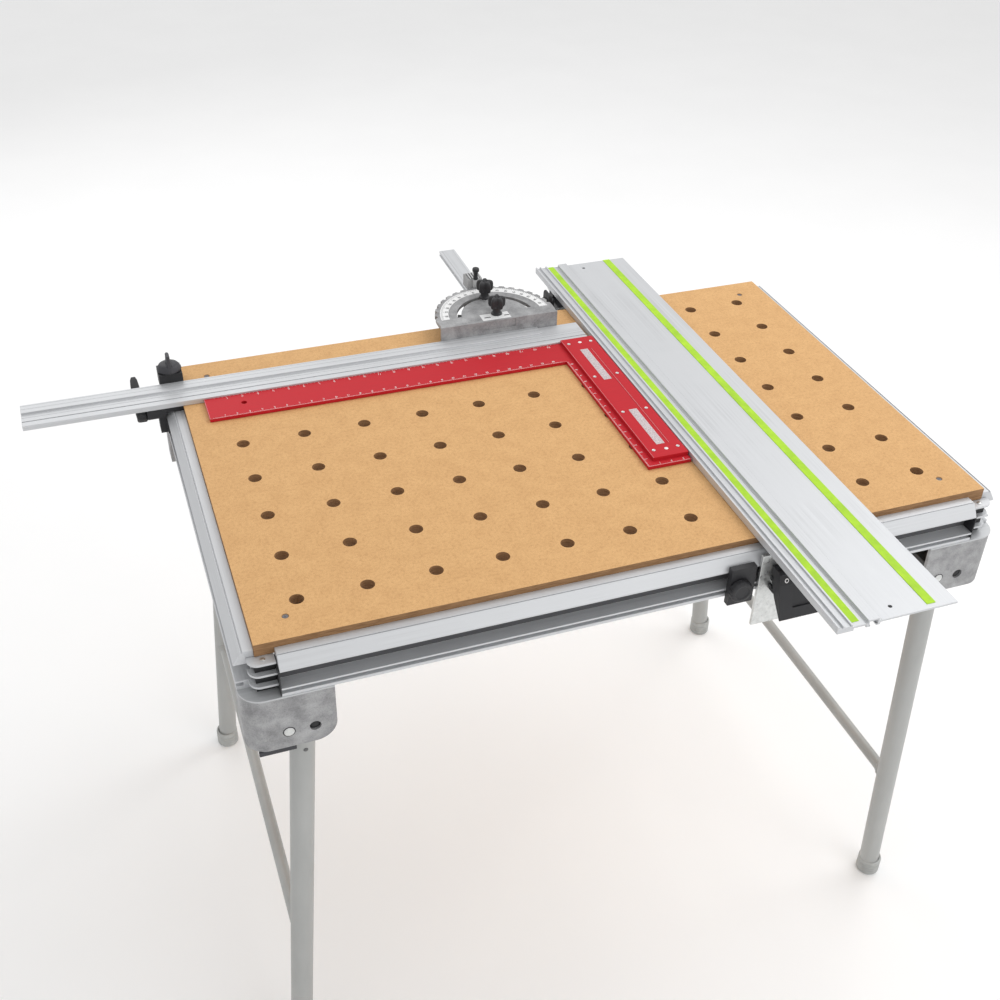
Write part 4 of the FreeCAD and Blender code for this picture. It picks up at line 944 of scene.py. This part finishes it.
def fence_details():
    """Die lines along the fence and the dark insert in its left end."""
    low, high = box_of("fence_profile")
    top, step = high.z, high.z - FENCE_STEP

    def lines(bm):
        for offset, z, end in ((24, step, high.x), (30.5, step, high.x), (46, top, FENCE_TOP_END),
                               (55, top, FENCE_TOP_END)):
            y = low.y + offset * MM
            add_stroke(bm, Vector((low.x + 0.4 * MM, y, z)), Vector((end - 0.4 * MM, y, z)), 0.5 * MM)

    made("fence_die_lines", lines, "die_line", "fence", smooth=False)

    def insert(bm):
        add_box(bm, (low.x, low.y + 2 * MM, low.z + 1 * MM),
                (low.x + 1.2 * MM, high.y - 2 * MM, step - 1 * MM))

    bevelled(made("fence_end_insert", insert, "black", "fence", smooth=False), 0.3 * MM, 2)


# The rail's front support: height and depth of its box, how far its front leans out, and where that starts.
BOX_HEIGHT, BOX_DEPTH, BOX_LEAN, BOX_BEVEL = 73 * MM, 21 * MM, 19 * MM, 4 * MM


def front_support_details():
    """Trim and hollow screw on the leaning front, side clips, and the bolts of the plate."""
    low = box_of("height_box")[0]
    plate_low, plate_high = box_of("front_plate")
    face, slope = plate_low.y, BOX_HEIGHT - BOX_BEVEL

    def on_front(x, share, out=0.0):
        """A point on the leaning front, given by the share of the way down."""
        return Vector((x, face - BOX_DEPTH - BOX_LEAN * share - out, low.z + slope * (1 - share)))

    normal = Vector((0, -slope, BOX_LEAN)).normalized()
    up = Vector((0, BOX_LEAN, slope)).normalized()
    screw = on_front(low.x + 11.5 * MM, 0.13, 0.2 * MM)
    head = scaled(MM, MM, ((3.2, -0.5), (3.2, 0.5), (2.8, 0.7), (2.0, 0.7), (1.9, 0.2), (0.4, 0.2)))
    hollow = scaled(MM, MM, ((1.9, 0), (1.9, 0.05), (0.6, 0.06)))

    def ring(bm):
        add_turned(bm, oriented(screw, normal), head, 28,
                   lambda angle, height: 1 + 0.18 * math.sin(angle) ** 2)

    made("height_box_screw_look", ring, "mark_white", "front_height_box", ["height_box_screw"])

    def screw_floor(bm):
        add_turned(bm, oriented(screw + normal * 0.72 * MM, normal), hollow, 24)

    made("height_box_screw_hollow", screw_floor, "black_deep", "front_height_box")

    def trim(bm):
        turn = Matrix((Vector((1, 0, 0)), up, normal)).transposed().to_4x4()
        placement = Matrix.Translation(on_front(low.x + 11 * MM, 0.135)) @ turn
        add_box(bm, (-9 * MM, -7 * MM, -0.2 * MM), (9.5 * MM, 8 * MM, 0.25 * MM), placement)

    bevelled(made("height_box_trim", trim, "black_deep", "front_height_box", smooth=False), 0.3 * MM, 2)

    def clips(bm):
        button = scaled(MM, MM, ((3.4, 0), (3.8, 0.6), (3.8, 1.4), (3.4, 2.0), (1.4, 2.0)))
        for z in (852 * MM, 838 * MM):
            start = Vector((low.x - 1.5 * MM, face - 4.0 * MM, z))
            add_turned(bm, oriented(start, (1, 0, 0)), button, 24)
        add_box(bm, (low.x + 1 * MM, face - 12 * MM, 828 * MM), (low.x + 7 * MM, face - 0.4 * MM, 834 * MM))

    bevelled(made("height_box_clips", clips, "black", "front_height_box"), 0.3 * MM, 2)

    def bolts(bm):
        for z in (775 * MM, 795 * MM):
            spot = Vector((plate_high.x - 14 * MM, face, z))
            add_socket_head(bm, oriented(spot, (0, -1, 0)), 4.2 * MM, 3.2 * MM)

    made("front_plate_bolts", bolts, "steel", "table")


def rear_support_details():
    """Bolts of the rear plate, ribs on the carriage, and the heads of the rail's hinge pin."""
    low = box_of("rear_carriage")[0]
    plate_low, plate_high = box_of("rear_plate")

    def bolts(bm):
        for x in (plate_low.x + 8 * MM, plate_high.x - 5 * MM):
            for z in (plate_low.z + 10 * MM, plate_low.z + 84 * MM):
                add_socket_head(bm, oriented(Vector((x, plate_high.y, z)), (0, 1, 0)), 3.6 * MM, 2.6 * MM)

    made("rear_plate_bolts", bolts, "steel", "table")

    def ribs(bm):
        for i in range(5):
            x = low.x + 22 * MM + i * 22 * MM
            add_box(bm, (x - 1.2 * MM, plate_high.y + 60 * MM, low.z + 8 * MM),
                    (x + 1.2 * MM, plate_high.y + 61.4 * MM, low.z + 60 * MM))

    bevelled(made("rear_carriage_ribs", ribs, "black", "rear_height_carriage", smooth=False), 0.3 * MM, 2)

    def heads(bm):
        pin_low, pin_high = box_of("rail_hinge_pin")
        pin = centre("rail_hinge_pin")
        head = scaled(MM, MM, ((6.6, -0.2), (6.6, 1.6), (5.6, 2.4), (1.0, 2.5)))
        for x, way in ((pin_low.x, -1), (pin_high.x, 1)):
            add_turned(bm, oriented(Vector((x, pin.y, pin.z)), (way, 0, 0)), head, 32)

    made("hinge_pin_heads", heads, "steel", "rear_height_carriage")


def corner_details():
    """Set screws in the top corner plates."""
    high = box_of("corner_ribs")[1]

    def screws(bm):
        for sx in (-1, 1):
            for sy in (-1, 1):
                x, y = sx * (high.x - 20 * MM), sy * (high.y - 9.5 * MM)
                add_socket_head(bm, Matrix.Translation((x, y, high.z)), 3.4 * MM, 0.9 * MM)

    made("corner_screws", screws, "steel", "table")


def head_bar_details():
    """The two fine lines along the head bar behind the index guide."""
    low, high = box_of("head_bar")
    start = centre("index_guide").y + 24 * MM

    def lines(bm):
        for x in (low.x + 5 * MM, high.x - 5 * MM):
            add_stroke(bm, Vector((x, start, high.z)), Vector((x, high.y - 1 * MM, high.z)), 0.5 * MM)

    made("head_bar_lines", lines, "die_line", "head_carrier", smooth=False)


square_marks()
protractor_marks()
for node, body in (("pivot_knob", "head_pivot_knob"), ("slot_knob", "head_slot_knob")):
    star_knob(node, body)
clamp_knob("front_clamp_knob", "front_knob", "y", outward=-1)
clamp_knob("rear_clamp_knob", "rear_knob", "z", wing="across")
clamp_knob("bar_clamp_knob", "bar_knob", "z", wing="along", outward=-1)
for end, way in (("front", 1), ("rear", -1)):
    for side in ("left", "right"):
        clamp_knob(f"leg_knob_{end}_{side}", f"knob_{end}_{side}", "y", wing="along", outward=way)
fence_dial()
index_plunger()
side_lever()
index_guide()
board_screws()
boots()
leg_details()
pivot_heads()
bracket_details()
groove_floors()
rail_details()
fence_details()
front_support_details()
rear_support_details()
corner_details()
head_bar_details()


# ---------------------------------------------------------------------------------------------------------
# Camera, light and floor
# ---------------------------------------------------------------------------------------------------------
CAMERA_PLACE = (-0.67447, -1.55338, 1.99236)
CAMERA_YAW, CAMERA_PITCH, CAMERA_ROLL = 0.3596, 0.6342, 0.0285
CAMERA_LENS, CAMERA_SENSOR, CAMERA_REACH = 45.42, 36, 50


def camera():
    """Stands at the front left and looks down over the table."""
    data = bpy.data.cameras.new("camera")
    data.lens, data.sensor_width, data.clip_end = CAMERA_LENS, CAMERA_SENSOR, CAMERA_REACH
    obj = bpy.data.objects.new("camera", data)
    bpy.context.scene.collection.objects.link(obj)
    level = Vector((math.sin(CAMERA_YAW), math.cos(CAMERA_YAW), 0)) * math.cos(CAMERA_PITCH)
    ahead = level - Vector((0, 0, math.sin(CAMERA_PITCH)))
    right = ahead.cross(Vector((0, 0, 1))).normalized()
    up = right.cross(ahead)
    cos, sin = math.cos(CAMERA_ROLL), math.sin(CAMERA_ROLL)
    turn = Matrix((cos * right + sin * up, cos * up - sin * right, -ahead)).transposed().to_4x4()
    obj.matrix_world = Matrix.Translation(CAMERA_PLACE) @ turn
    bpy.context.scene.camera = obj


def lamp(name, place, target, edge, power):
    """A square soft light that faces its target."""
    data = bpy.data.lights.new(name, "AREA")
    data.shape, data.size, data.energy = "SQUARE", edge, power
    obj = bpy.data.objects.new(name, data)
    bpy.context.scene.collection.objects.link(obj)
    aim = (Vector(target) - Vector(place)).to_track_quat("-Z", "Y")
    obj.matrix_world = Matrix.Translation(place) @ aim.to_matrix().to_4x4()


def studio():
    """Three soft lights and an even white surround."""
    lamp("key", (2.2, 0.6, 3.4), (0, 0, 0.8), 2.2, 40)
    lamp("fill", (1.6, -3.2, 2.2), (0, 0, 0.7), 2.6, 26)
    lamp("back", (-0.8, 3.2, 2.6), (0, 0, 0.8), 2.4, 20)
    world = bpy.data.worlds.new("studio")
    world.use_nodes = True
    backdrop = next(n for n in world.node_tree.nodes if n.type == "BACKGROUND")
    backdrop.inputs["Color"].default_value = (1, 1, 1, 1)
    backdrop.inputs["Strength"].default_value = 0.80
    bpy.context.scene.world = world
    bpy.context.scene.view_settings.view_transform = "Standard"


def floor():
    """A wide pale floor under the feet."""
    mesh = bpy.data.meshes.new("floor")
    bm = bmesh.new()
    bmesh.ops.create_grid(bm, x_segments=1, y_segments=1, size=12)
    bm.to_mesh(mesh)
    bm.free()
    obj = bpy.data.objects.new("floor", mesh)
    bpy.context.scene.collection.objects.link(obj)
    p = Paint("floor")
    obj.data.materials.append(p.finish(p.ramp(p.noise(3, 2), (0.3, 0.955), (0.7, 0.97)), 0.9, 0.0))


camera()
studio()
floor()
for name, width in EDGE_MM.items():
    soften(NODES[name], width * MM)
